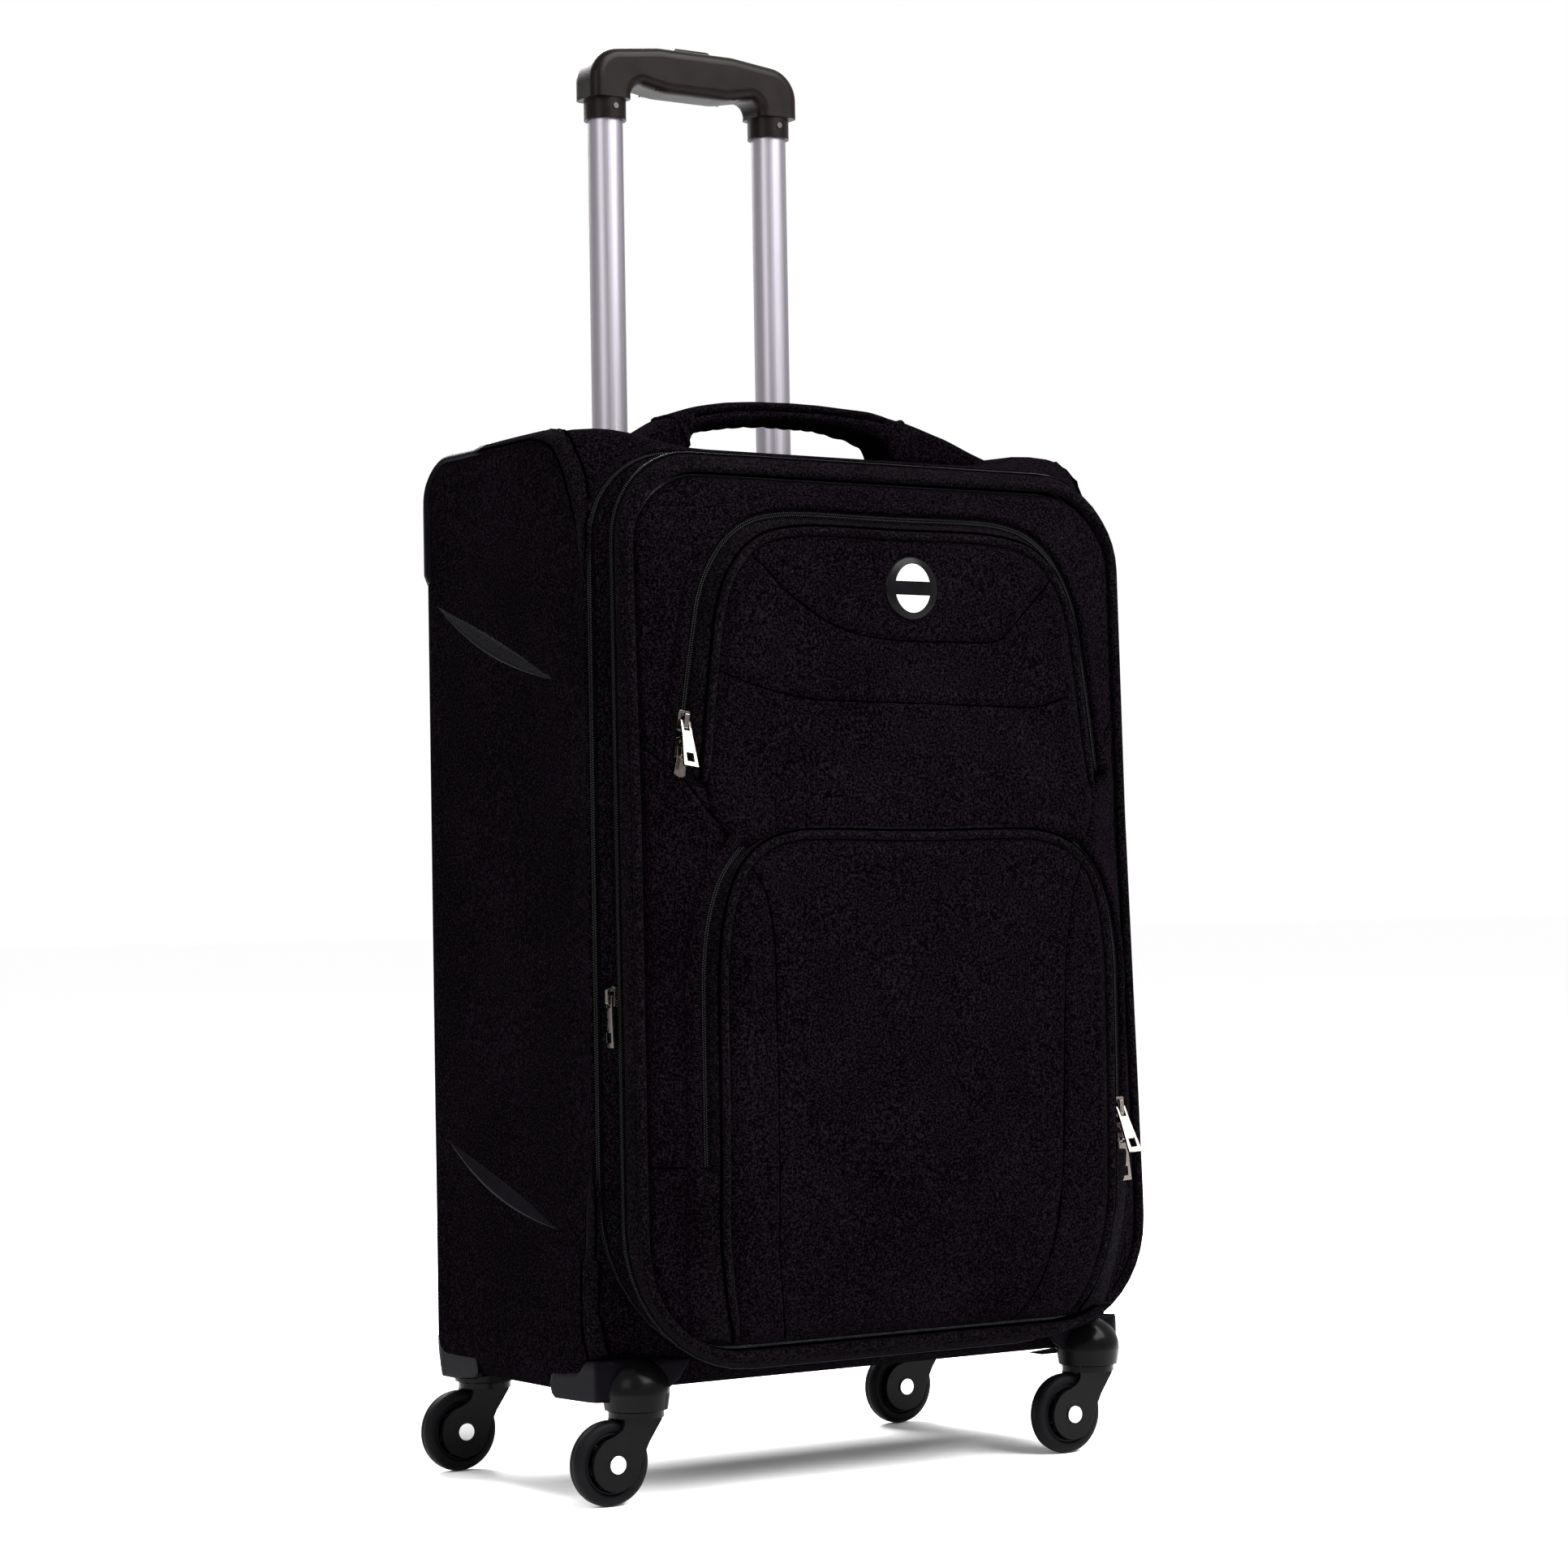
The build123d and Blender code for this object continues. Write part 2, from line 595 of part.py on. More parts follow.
shell_panels()
opening_rim()
base_and_lining()
moulded_trim()
top_guards_and_fins()
carry_handle()
trolley_case_parts()
trolley_stages()
grip()
button_and_linkage()
for side, cx in (("left", -caster_x), ("right", caster_x)):
    caster(f"front_{side}", cx, -caster_y)
    caster(f"rear_{side}", cx, caster_y)
lid()
pockets()
sliders()

os.makedirs("parts", exist_ok=True)
whole = [shape.bounding_box() for shape in nodes.values()]
low = [min(getattr(b.min, a) for b in whole) for a in "XYZ"]
high = [max(getattr(b.max, a) for b in whole) for a in "XYZ"]
print("drawn box", low, high)
for name, shape in nodes.items():
    export_step(Pos(footprint_shift) * shape, f"parts/{name}.step")
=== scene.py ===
"""Looks of a softside upright suitcase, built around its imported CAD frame.

Lengths are millimetres about the centre of the caster grid, +Z up and -Y the front, and at() turns
them into the frame's metres.
"""

from math import copysign, cos, exp, pi, radians, sin, sqrt

import bmesh
import bpy
from mathutils import Matrix, Vector, noise
from mathutils.bvhtree import BVHTree
from mathutils.kdtree import KDTree


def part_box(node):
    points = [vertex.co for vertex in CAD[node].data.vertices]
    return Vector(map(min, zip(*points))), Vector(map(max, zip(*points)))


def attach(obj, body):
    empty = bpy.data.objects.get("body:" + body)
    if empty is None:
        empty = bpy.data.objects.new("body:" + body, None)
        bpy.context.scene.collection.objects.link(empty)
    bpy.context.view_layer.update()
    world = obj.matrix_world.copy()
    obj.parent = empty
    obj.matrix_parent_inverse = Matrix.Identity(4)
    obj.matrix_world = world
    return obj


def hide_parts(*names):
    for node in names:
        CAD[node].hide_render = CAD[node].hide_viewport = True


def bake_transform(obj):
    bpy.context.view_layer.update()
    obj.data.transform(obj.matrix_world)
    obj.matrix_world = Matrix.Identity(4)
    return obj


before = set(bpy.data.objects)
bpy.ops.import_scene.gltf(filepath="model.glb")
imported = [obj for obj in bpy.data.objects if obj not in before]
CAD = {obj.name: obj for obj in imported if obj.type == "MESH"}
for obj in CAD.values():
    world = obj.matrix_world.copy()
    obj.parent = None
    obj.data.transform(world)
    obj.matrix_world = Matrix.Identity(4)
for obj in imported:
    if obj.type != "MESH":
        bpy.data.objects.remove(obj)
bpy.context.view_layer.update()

MM = 0.001
FRONT = (0, -1, 0)
SIDES = (("left", -1), ("right", 1))
hub_low, hub_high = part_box("caster_housings")
HUB = Vector(((hub_low.x + hub_high.x) / 2, (hub_low.y + hub_high.y) / 2, 0.0))


def at(x, y, z):
    """A point given in millimetres, in the frame's metres."""
    return HUB + Vector((x, y, z)) * MM


def mm(point):
    """The other way round."""
    return (point - HUB) / MM


def lerp(a, b, t):
    return a + (b - a) * t


def smoothstep(t):
    t = min(1.0, max(0.0, t))
    return t * t * (3 - 2 * t)


def curve_through(pairs):
    """A piecewise linear function through (input, output) pairs, flat beyond both ends."""
    pairs = sorted(pairs)

    def value(v):
        if v <= pairs[0][0]:
            return pairs[0][1]
        for (a, fa), (b, fb) in zip(pairs, pairs[1:]):
            if v <= b:
                return lerp(fa, fb, (v - a) / (b - a))
        return pairs[-1][1]

    return value


# ------------------------------------------------------------------ materials
def new_material(name):
    material = bpy.data.materials.new(name)
    material.use_nodes = True
    tree = material.node_tree
    return material, tree, tree.nodes["Principled BSDF"]


def sockets(node, values):
    for name, value in values.items():
        node.inputs[name].default_value = value


def noise_node(tree, coords, scale, detail=2.0, rough=0.6, stretch=None):
    source = coords
    if stretch:
        mapping = tree.nodes.new("ShaderNodeMapping")
        mapping.inputs["Scale"].default_value = stretch
        tree.links.new(coords, mapping.inputs["Vector"])
        source = mapping.outputs["Vector"]
    node = tree.nodes.new("ShaderNodeTexNoise")
    sockets(node, {"Scale": scale, "Detail": detail, "Roughness": rough})
    tree.links.new(source, node.inputs["Vector"])
    return node.outputs["Fac"]


def ramp(tree, source, low, high, colour_low, colour_high):
    node = tree.nodes.new("ShaderNodeValToRGB")
    first, last = node.color_ramp.elements
    first.position, first.color = low, (*colour_low, 1)
    last.position, last.color = high, (*colour_high, 1)
    tree.links.new(source, node.inputs["Fac"])
    return node.outputs["Color"]


def math_node(tree, kind, a, b):
    node = tree.nodes.new("ShaderNodeMath")
    node.operation = kind
    for socket, value in zip(node.inputs, (a, b)):
        if isinstance(value, (int, float)):
            socket.default_value = value
        else:
            tree.links.new(value, socket)
    return node.outputs[0]


def bump(tree, shader, height, distance, strength=1.0, rounding=0.0):
    """Relief in the shading; rounding softens hard edges by that radius."""
    node = tree.nodes.new("ShaderNodeBump")
    sockets(node, {"Distance": distance, "Strength": strength})
    tree.links.new(height, node.inputs["Height"])
    if rounding:
        bevel = tree.nodes.new("ShaderNodeBevel")
        bevel.samples = 4
        bevel.inputs["Radius"].default_value = rounding
        tree.links.new(bevel.outputs["Normal"], node.inputs["Normal"])
    tree.links.new(node.outputs["Normal"], shader.inputs["Normal"])


def object_coords(tree):
    return tree.nodes.new("ShaderNodeTexCoord").outputs["Object"]


def waves(tree, coords, axis, period):
    node = tree.nodes.new("ShaderNodeTexWave")
    node.bands_direction = axis
    sockets(node, {"Scale": 2 * pi / 20 / period, "Distortion": 0.6, "Detail": 1.0})
    tree.links.new(coords, node.inputs["Vector"])
    return node.outputs["Fac"]


def woven(name, dark, light, period=1.3e-3, sheen=0.25, roughness=0.92, depth=0.00035):
    """Black polyester: crossed yarns, a speckled nap and slow unevenness of tone."""
    material, tree, shader = new_material(name)
    coords = object_coords(tree)
    speckle = noise_node(tree, coords, 700.0, 3.0, 0.85)
    cloud = noise_node(tree, coords, 14.0, 2.0)
    tone = math_node(tree, "ADD", math_node(tree, "MULTIPLY", speckle, 0.93),
                     math_node(tree, "MULTIPLY", cloud, 0.07))
    tree.links.new(ramp(tree, tone, 0.47, 0.66, dark, light), shader.inputs["Base Color"])
    yarns = None
    for axis in "XYZ":
        band = waves(tree, coords, axis, period)
        yarns = band if yarns is None else math_node(tree, "ADD", yarns, band)
    height = math_node(tree, "ADD", math_node(tree, "MULTIPLY", yarns, 0.25),
                       math_node(tree, "MULTIPLY", speckle, 1.2))
    bump(tree, shader, height, depth, 0.8)
    sockets(shader, {"Roughness": roughness, "Specular IOR Level": 0.0, "Sheen Weight": sheen,
                     "Sheen Roughness": 0.45, "Sheen Tint": (0.80, 0.78, 0.92, 1)})
    return material


def moulded(name, colour, rough_low, rough_high, grain=2200.0, depth=0.00012, rounding=0.0007,
            specular=0.16):
    """Injection-moulded plastic: fine grain, and duller where hands and floors rub it."""
    material, tree, shader = new_material(name)
    coords = object_coords(tree)
    wear = noise_node(tree, coords, 38.0, 4.0, 0.7)
    tone = ramp(tree, wear, 0.35, 0.7, colour, [c * 1.7 for c in colour])
    tree.links.new(tone, shader.inputs["Base Color"])
    rough = ramp(tree, wear, 0.3, 0.7, [rough_low] * 3, [rough_high] * 3)
    tree.links.new(rough, shader.inputs["Roughness"])
    bump(tree, shader, noise_node(tree, coords, grain, 2.0), depth, 0.5, rounding)
    shader.inputs["Specular IOR Level"].default_value = specular
    return material


def metal(name, colour, rough_low, rough_high, stretch=None, scale=60.0, depth=0.00003):
    material, tree, shader = new_material(name)
    coords = object_coords(tree)
    grain = noise_node(tree, coords, scale, 4.0, 0.7, stretch)
    tone = ramp(tree, grain, 0.3, 0.75, [c * 0.86 for c in colour], colour)
    tree.links.new(tone, shader.inputs["Base Color"])
    rough = ramp(tree, grain, 0.3, 0.7, [rough_low] * 3, [rough_high] * 3)
    tree.links.new(rough, shader.inputs["Roughness"])
    bump(tree, shader, grain, depth, 0.4, 0.0004)
    shader.inputs["Metallic"].default_value = 1.0
    return material


FABRIC = woven("shell_weave", (0.0002, 0.0001, 0.0002), (0.0056, 0.0040, 0.0058), sheen=0.003)
BINDING = woven("binding_tape", (0.0004, 0.0003, 0.0004), (0.0066, 0.0050, 0.0068), 0.9e-3, 0.005)
TAPE = woven("zipper_tape", (0.0002, 0.0002, 0.0003), (0.0018, 0.0016, 0.0021), 0.8e-3, 0.003)
COIL = moulded("zipper_coil", (0.0030, 0.0028, 0.0032), 0.32, 0.44, 3000.0, rounding=0.0,
               specular=0.07)
# Near-black thread for the real stitches; the same material also colours the painted shade cords in the
# grooves beside the pocket piping.
THREAD_AND_GROOVE_SHADE = woven("seam_thread_and_groove_shade", (0.0001, 0.0001, 0.0001), (0.0003, 0.0003, 0.0004), 0.5e-3, 0.0)
LINING = woven("lining_cloth", (0.045, 0.045, 0.050), (0.10, 0.10, 0.11), 0.7e-3, 0.10)
SATIN = moulded("satin_moulding", (0.0010, 0.0007, 0.0013), 0.32, 0.46, specular=0.014)
GLOSS = moulded("polished_nylon", (0.0012, 0.0012, 0.0014), 0.18, 0.30, 900.0, 0.00004, specular=0.045)
GRIP = moulded("grip_moulding", (0.0026, 0.0015, 0.0014), 0.26, 0.40, 1600.0, 0.00008, specular=0.05)
TYRE = moulded("tyre_rubber", (0.0016, 0.0015, 0.0019), 0.40, 0.58, 1300.0, specular=0.04)
BOARD = moulded("edge_board", (0.006, 0.006, 0.006), 0.55, 0.75, specular=0.05)
TUBE = metal("anodised_tube", (0.22, 0.205, 0.23), 0.34, 0.46, (900.0, 900.0, 6.0), 1.0)
NICKEL = metal("nickel_plate", (0.14, 0.122, 0.114), 0.10, 0.28, scale=260.0)
AXLE = metal("zinc_axle", (0.50, 0.50, 0.50), 0.14, 0.28, scale=300.0)
SCREW = metal("dark_screw", (0.05, 0.045, 0.045), 0.30, 0.45, scale=300.0)
PALE = moulded("badge_inlay", (0.24, 0.23, 0.22), 0.30, 0.42, 1500.0, 0.00003, rounding=0.0002)


# ------------------------------------------------------------------ mesh helpers
def loft(rows, closed=True, cap_first=False, cap_last=False):
    """Points and faces of a surface through rows of equal length."""
    points = [p for row in rows for p in row]
    n = len(rows[0])
    faces = []
    for i in range(len(rows) - 1):
        for j in range(n if closed else n - 1):
            k = (j + 1) % n
            faces.append((i * n + j, i * n + k, (i + 1) * n + k, (i + 1) * n + j))
    for wanted, start, turn in ((cap_first, 0, -1), (cap_last, (len(rows) - 1) * n, 1)):
        if wanted:
            faces.append(tuple(start + j for j in range(n))[::turn])
    return points, faces


def merged(*shapes):
    points, faces = [], []
    for more_points, more_faces in shapes:
        start = len(points)
        points += more_points
        faces += [tuple(start + i for i in face) for face in more_faces]
    return points, faces


def in_scene(name, data):
    obj = bpy.data.objects.new(name, data)
    bpy.context.scene.collection.objects.link(obj)
    return obj


def piece(name, shape, material, body, replaces=(), smooth=True,
          subdivide=0, thick=0.0):
    """A Blender object from points in millimetres, riding on a body."""
    points, faces = shape
    mesh = bpy.data.meshes.new(name)
    mesh.from_pydata([at(*p) for p in points], [], faces)
    mesh.materials.append(material)
    mesh.validate()
    mesh.shade_smooth() if smooth else mesh.shade_flat()
    obj = in_scene(name, mesh)
    if thick:
        shell = obj.modifiers.new("thickness", "SOLIDIFY")
        shell.thickness = thick * MM
        shell.offset = -1.0
    if subdivide:
        smoother = obj.modifiers.new("smooth", "SUBSURF")
        smoother.levels = smoother.render_levels = subdivide
    if body:
        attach(obj, body)
    if replaces:
        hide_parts(*replaces)
    return obj


def path_frames(path, outs, closed):
    """Tangent, sideways and outward unit vectors at each point of a path."""
    frames = []
    n = len(path)
    for i in range(n):
        before = path[(i - 1) % n] if closed or i else path[0]
        after = path[(i + 1) % n] if closed or i < n - 1 else path[-1]
        tangent = (Vector(after) - Vector(before)).normalized()
        out = Vector(outs[i])
        side = tangent.cross(out).normalized()
        frames.append((tangent, side, side.cross(tangent).normalized()))
    return frames


def sweep(path, outs, profile, closed=True, ends=None):
    """A profile of (sideways, outward) points carried along a path."""
    rows = []
    frames = path_frames(path, outs, closed)
    for i, (point, (_, side, out)) in enumerate(zip(path, frames)):
        size = ends(i / (len(path) - 1)) if ends else 1.0
        rows.append([tuple(Vector(point) + side * u * size + out * v * size) for u, v in profile])
    if closed:
        rows.append(rows[0])
    return loft(rows, cap_first=not closed, cap_last=not closed)


def round_profile(radius, segments=10, flat=1.0):
    turns = [2 * pi * k / segments for k in range(segments)]
    return [(radius * cos(a), radius * flat * sin(a)) for a in turns]


def cord(path, radius, sides=6, out=FRONT):
    """A round cord along an open path."""
    return sweep(path, [out] * len(path), round_profile(radius, sides), closed=False)


def spaced_along(path, outs, step, closed=True):
    """Evenly spaced points along a path, with their outward vectors."""
    count = len(path)
    last = count if closed else count - 1
    spaced, normals, carry = [], [], 0.0
    for i in range(last):
        a, b = Vector(path[i]), Vector(path[(i + 1) % count])
        oa, ob = Vector(outs[i]), Vector(outs[(i + 1) % count])
        length = (b - a).length
        while carry < length:
            t = carry / length
            spaced.append(a.lerp(b, t))
            normals.append(oa.lerp(ob, t).normalized())
            carry += step
        carry -= length
    return spaced, normals


TOOTH_PITCH = 1.5


def teeth(path, outs, rows=(-1, 1), closed=True):
    """The coil of a zipper: short loops in two interlocked rows."""
    spaced, normals = spaced_along(path, outs, TOOTH_PITCH, closed)
    frames = path_frames(spaced, normals, closed)
    points, faces = [], []
    for centre, (tangent, side, out) in zip(spaced, frames):
        for row in rows:
            middle = centre + side * row * 0.8 + out * 0.7
            middle += tangent * (TOOTH_PITCH / 4 * row)
            start = len(points)
            for across, up in ((-0.8, -0.3), (-0.5, 0.3), (0.5, 0.3), (0.8, -0.3)):
                for along in (-0.42, 0.42):
                    points.append(tuple(middle + side * across + out * up + tangent * along))
            for k in range(3):
                a = start + 2 * k
                faces.append((a, a + 1, a + 3, a + 2))
            faces.append((start, start + 6, start + 7, start + 1))
            faces.append((start, start + 2, start + 4, start + 6))
            faces.append((start + 1, start + 7, start + 5, start + 3))
    return points, faces


# ------------------------------------------------------------------ outlines seen from the front
CORNER, SIDE, LEVEL = 10, 34, 26


def ring(half, low, high, r_low, r_high, width=None):
    """(x, z) points round an upright outline, from the lower left along the foot."""
    points = []

    def run(a, b, count):
        points.extend((lerp(a[0], b[0], k / count), lerp(a[1], b[1], k / count)) for k in range(count))

    def arc(x, z, radius, start):
        turns = [radians(start + 90.0 * k / CORNER) for k in range(CORNER)]
        points.extend((x + radius * cos(a), z + radius * sin(a)) for a in turns)

    run((-half + r_low, low), (half - r_low, low), LEVEL)
    arc(half - r_low, low + r_low, r_low, -90)
    run((half, low + r_low), (half, high - r_high), SIDE)
    arc(half - r_high, high - r_high, r_high, 0)
    run((half - r_high, high), (-half + r_high, high), LEVEL)
    arc(-half + r_high, high - r_high, r_high, 90)
    run((-half, high - r_high), (-half, low + r_low), SIDE)
    arc(-half + r_low, low + r_low, r_low, 180)
    if width:
        points = [(x * width(z) / half, z) for x, z in points]
    return points


def outward(path, tilt=0.0):
    """Outward vectors in the outline's own plane, tipped towards the front by tilt (0 to 1)."""
    outs = []
    n = len(path)
    for i in range(n):
        a, b = Vector(path[i - 1]), Vector(path[(i + 1) % n])
        along = (b - a).normalized()
        flat = Vector((along.z, 0.0, -along.x)).normalized()
        outs.append(tuple((flat * (1 - tilt) + Vector((0, -1, 0)) * tilt).normalized()))
    return outs


def flared(points, flare):
    """An outline whose left half stands further out, as the case's mouth does."""
    return [(x * flare if x < 0 else x, y, z) for x, y, z in points]


def soft_noise(x, y, z, scale, seed=0.0):
    return noise.noise(Vector((x / scale + seed, y / scale, z / scale)))


# ------------------------------------------------------------------ case body
HALF, TOP, FOOT, BACK = 198.0, 656.0, 66.0, 119.6
MOUTH_HALF, MOUTH_FLARE, MOUTH_LOW, MOUTH_HIGH = 191.0, 1.044, 77.0, 642.0
REAR_R, REAR_TOP_R, REAR_FOOT_R = 17.0, 38.0, 24.0
CUP_HALF, CUP_FRONT, CUP_FLOOR = 97.6, 70.4, 628.4

grow = curve_through([(-95.5, 0.0), (-93, 0.35), (-89, 0.72), (-84, 0.92), (-76, 1.0)])
rise = curve_through([(-95.5, 0.0), (-92, 0.22), (-84, 0.5), (-70, 0.78), (-55, 0.93), (-30, 1.0)])
high_radius = curve_through([(-95.5, 57), (-90, 62), (-86.5, 60), (-80.5, 47), (-70.5, 27),
                             (-55.5, 14), (-28.5, 9)])
low_radius = curve_through([(-95.5, 108), (-90, 80), (-86, 54), (-80, 32), (-70, 20), (-55, 14)])


def fall(y, back, radius):
    """How far a rounded rear edge has dropped at y."""
    over = max(0.0, y - (back - radius))
    return radius - sqrt(max(0.0, radius * radius - over * over))


def body_ring(y, inset=0.0):
    half = lerp(MOUTH_HALF, HALF, grow(y)) - fall(y, BACK, REAR_R) - inset
    high = lerp(MOUTH_HIGH, TOP, rise(y)) - fall(y, BACK, REAR_TOP_R) - inset
    low = lerp(MOUTH_LOW, FOOT, rise(y)) + fall(y, BACK, REAR_FOOT_R) + inset
    r_high = high_radius(y) + fall(y, BACK, REAR_TOP_R) * 0.5
    r_low = low_radius(y) + fall(y, BACK, REAR_FOOT_R) * 0.5
    outline = [(x, y, z) for x, z in ring(half, low, high, r_low, r_high)]
    return flared(outline, lerp(MOUTH_FLARE, 1.0, grow(y)))


top_sag = curve_through([(-96, 0), (-92, 1.6), (-84, 4.2), (-70, 6.1), (-55, 6.1), (-40, 4.7),
                         (-20, 2.5), (0, 0.6), (15, 0)])


def relaxed(point):
    """The fabric's slight unevenness: the top sags under the handle between its puffed shoulders."""
    x, y, z = point
    on_top = smoothstep((z - 622) / 18)
    if on_top:
        z -= on_top * top_sag(y) * smoothstep((152 - abs(x)) / 38)
        shoulder = exp(-((abs(x) - 166) / 20) ** 2)
        z += on_top * 2.8 * shoulder * smoothstep((y + 90) / 30) * smoothstep((70 - y) / 70)
    side = min(1.0, abs(x) / HALF) ** 8
    hollow = sin(pi * min(1, max(0, (z - FOOT) / (TOP - FOOT))))
    hollow *= sin(pi * min(1, max(0, (y + 85) / 200)))
    slack = 1.6 * hollow + 0.9 * soft_noise(0, y, z, 70, 3.1) * hollow
    dx = -copysign(1, x) * side * slack
    return (x + dx, y, z)


def case_shell():
    stations = [-95.5, -94.5, -93, -91, -88.5, -86, -83, -80, -76, -70, -63, -55, -46, -36, -25]
    stations += [-10 + 9 * k for k in range(10)]
    stations += [82, 87, 92, 97, 101.5, 105.5, 109, 112, 114.7, 116.8, 118.3, 119.2, BACK]
    rows = [[relaxed(p) for p in body_ring(y)] for y in stations]
    rim = rows[-1]
    centre = Vector((0, BACK, (FOOT + TOP) / 2 - 5))
    for share in (0.97, 0.92, 0.85, 0.75, 0.62, 0.48, 0.34, 0.2, 0.07):
        dish = 1.2 * (1 - share ** 2)
        rows.append([tuple(centre.lerp(Vector(p), share) - Vector((0, dish, 0))) for p in rim])
    points, faces = loft(rows, cap_last=True)
    nodes = ("side_panel_left", "side_panel_right", "top_panel", "back_panel", "bottom_panel")
    return piece("case_shell", (points, faces), FABRIC, "case", replaces=nodes, thick=3.0)


def side_bindings():
    """The wide, twice stitched band outside each side panel's seam, from the zipper over the top edge."""
    lines = {
        "high": [(-93.4, 566), (-92.8, 578), (-92.2, 590), (-86.4, 607.5), (-76.0, 631.5),
                 (-60.0, 651.4), (-46, 658.2), (-30, 661.6), (-10, 662.0), (15, 662.0), (38, 662.0)],
        "low": [(-93.0, 205), (-92.0, 186), (-90.5, 168), (-89.0, 150), (-87.0, 130), (-86.0, 110),
                (-85.5, 88)],
    }
    flat = [(-6.4, -3.4), (-6.2, -0.4), (-5.0, 1.1), (0.0, 1.7), (5.0, 1.1), (6.2, -0.4), (6.4, -3.4)]
    stitched = [[(u + 0.8 * cos(a), 0.8 * sin(a)) for a in (0.0, 1.6, 3.1, 4.7)]
                for u in (-6.7, 6.7)]
    for label, sign in SIDES:
        for part, line in lines.items():
            path, outs = [], []
            for y, z in bezier_like(line, 8):
                found = on_shell_side(sign, y, z)
                if found:
                    path.append(found[0])
                    outs.append(found[1])

            def width(t):
                return smoothstep(min(t / 0.16, 1)) * 0.8 + 0.2

            piece(f"side_binding_{part}_{label}", sweep(path, outs, flat, closed=False, ends=width),
                  BINDING, "case")
            edges = [sweep(path, outs, profile, closed=False, ends=width) for profile in stitched]
            piece(f"side_stitching_{part}_{label}", merged(*edges), THREAD_AND_GROOVE_SHADE, "case")


def bezier_like(points, steps):
    """Catmull-Rom points through a list of tuples."""
    smooth = []
    n = len(points)
    for i in range(n - 1):
        p0, p1 = Vector(points[max(i - 1, 0)]), Vector(points[i])
        p2, p3 = Vector(points[i + 1]), Vector(points[min(i + 2, n - 1)])
        for k in range(steps):
            t = k / steps
            smooth.append(0.5 * ((2 * p1) + (p2 - p0) * t + (2 * p0 - 5 * p1 + 4 * p2 - p3) * t * t
                                 + (3 * p1 - p0 - 3 * p2 + p3) * t ** 3))
    smooth.append(Vector(points[-1]))
    return [tuple(p) for p in smooth]


def skin_of(obj):
    return BVHTree.FromObject(obj, bpy.context.evaluated_depsgraph_get())


def on_skin(skin, origin, direction):
    """Where a line from a point in millimetres first meets a surface, and the normal there."""
    hit, normal, _, _ = skin.ray_cast(at(*origin), Vector(direction))
    if hit is None:
        return None
    if normal.dot(Vector(direction)) > 0:
        normal = -normal
    return tuple(mm(hit)), tuple(normal)


def hits(rays):
    """The points that were met, from on_skin results with the misses left out."""
    return [found[0] for found in rays if found]


def on_shell_side(sign, y, z):
    """The shell point that a seam at (y, z) of the side view lies on, looking in from 45 degrees."""
    top_lean = max(0.0, min(1.0, (z - 600) / 50))
    direction = Vector((-sign, 0.25, -0.9 * top_lean)).normalized()
    origin = Vector((sign * HALF, y, z)) - direction * 60
    return on_skin(SHELL, origin, direction)


# ------------------------------------------------------------------ lid
LID_HALF, LID_LOW, LID_HIGH = 190, 78, 641
LID_BACK = -98.0
FACE_MIDDLE = 350
ZIP_ONE_Y = -97.4
zip_two_y = curve_through([(77, -112.2), (264, -111.4), (491, -110.2), (583, -109.4), (641, -109.2)])
lid_width = curve_through([(78, 183.5), (120, 185.5), (170, 186), (300, 183.5), (419, 181), (583, 183)])


def lean(z):
    """The lid's front outline stands further out towards the foot."""
    return -119.5 - 14.5 * (626.0 - z) / 531.0


def lid_rows():
    """Outlines across the lid's edge, from the main zipper to the groove round its front panel."""
    def level(outline, y):
        return [(x, y(z) if callable(y) else y, z) for x, z in outline]

    def between(share):
        return lambda z: lerp(zip_two_y(z) - 2.8, lean(z), share)

    def towards_zip(share):
        return lambda z: lerp(LID_BACK, zip_two_y(z) + 2.6, share)

    rear = [
        level(ring(189.6, 78.4, 640.6, 106, 56), LID_BACK),
        level(ring(190.0, 78.0, 641.0, 102, 56), towards_zip(0.25)),
        level(ring(189.4, 78.6, 640.4, 96, 56), towards_zip(0.6)),
        level(ring(189.8, 78.2, 640.8, 90, 56), towards_zip(1.0)),
    ]
    rear = [flared(row, flare) for row, flare in zip(rear, (MOUTH_FLARE, 1.034, 1.014, 1.0))]
    flange = [
        level(ring(190.2, 78.2, 640.8, 90, 56), between(0.0)),
        level(ring(190.9, 78.2, 640.0, 88, 56), between(0.12)),
        level(ring(190.9, 79.6, 638.6, 84, 55), between(0.42)),
        level(ring(190.7, 81.6, 636.8, 80, 54), between(0.70)),
        level(ring(190.0, 83.6, 635.0, 75, 53), between(0.88)),
        level(ring(188.4, 86.4, 632.6, 69, 53), between(0.97)),
        level(ring(185.0, 90.0, 629.5, 62, 52, lid_width), lambda z: lean(z) + 2.0),
    ]
    return rear, flange


def lid_piping_path():
    outline = ring(186.6, 88.4, 631.6, 66, 53)
    widen = curve_through([(78, 188.0), (170, 189.3), (300, 187.6), (419, 186.0), (583, 186.6)])
    return [(x * widen(z) / 186.6, lean(z) - 0.9, z) for x, z in outline]


def resample(points, count):
    """The same open line with evenly spaced points."""
    spots = [Vector(p) for p in points]
    lengths = [0.0]
    for p, q in zip(spots, spots[1:]):
        lengths.append(lengths[-1] + (q - p).length)
    even, k = [], 0
    for i in range(count):
        wanted = lengths[-1] * i / (count - 1)
        while k < len(spots) - 2 and lengths[k + 1] < wanted:
            k += 1
        span = lengths[k + 1] - lengths[k]
        even.append(spots[k].lerp(spots[k + 1], (wanted - lengths[k]) / span if span else 0.0))
    return even


def arch(left_half, count, shift=0.0):
    """A line up the left side, over the top and down the right, from its left half in (x, z)."""
    whole = left_half + [(-x, z) for x, z in left_half[-2::-1]]
    return [Vector((p.x + shift, p.y)) for p in resample(bezier_like(whole, 12), count)]


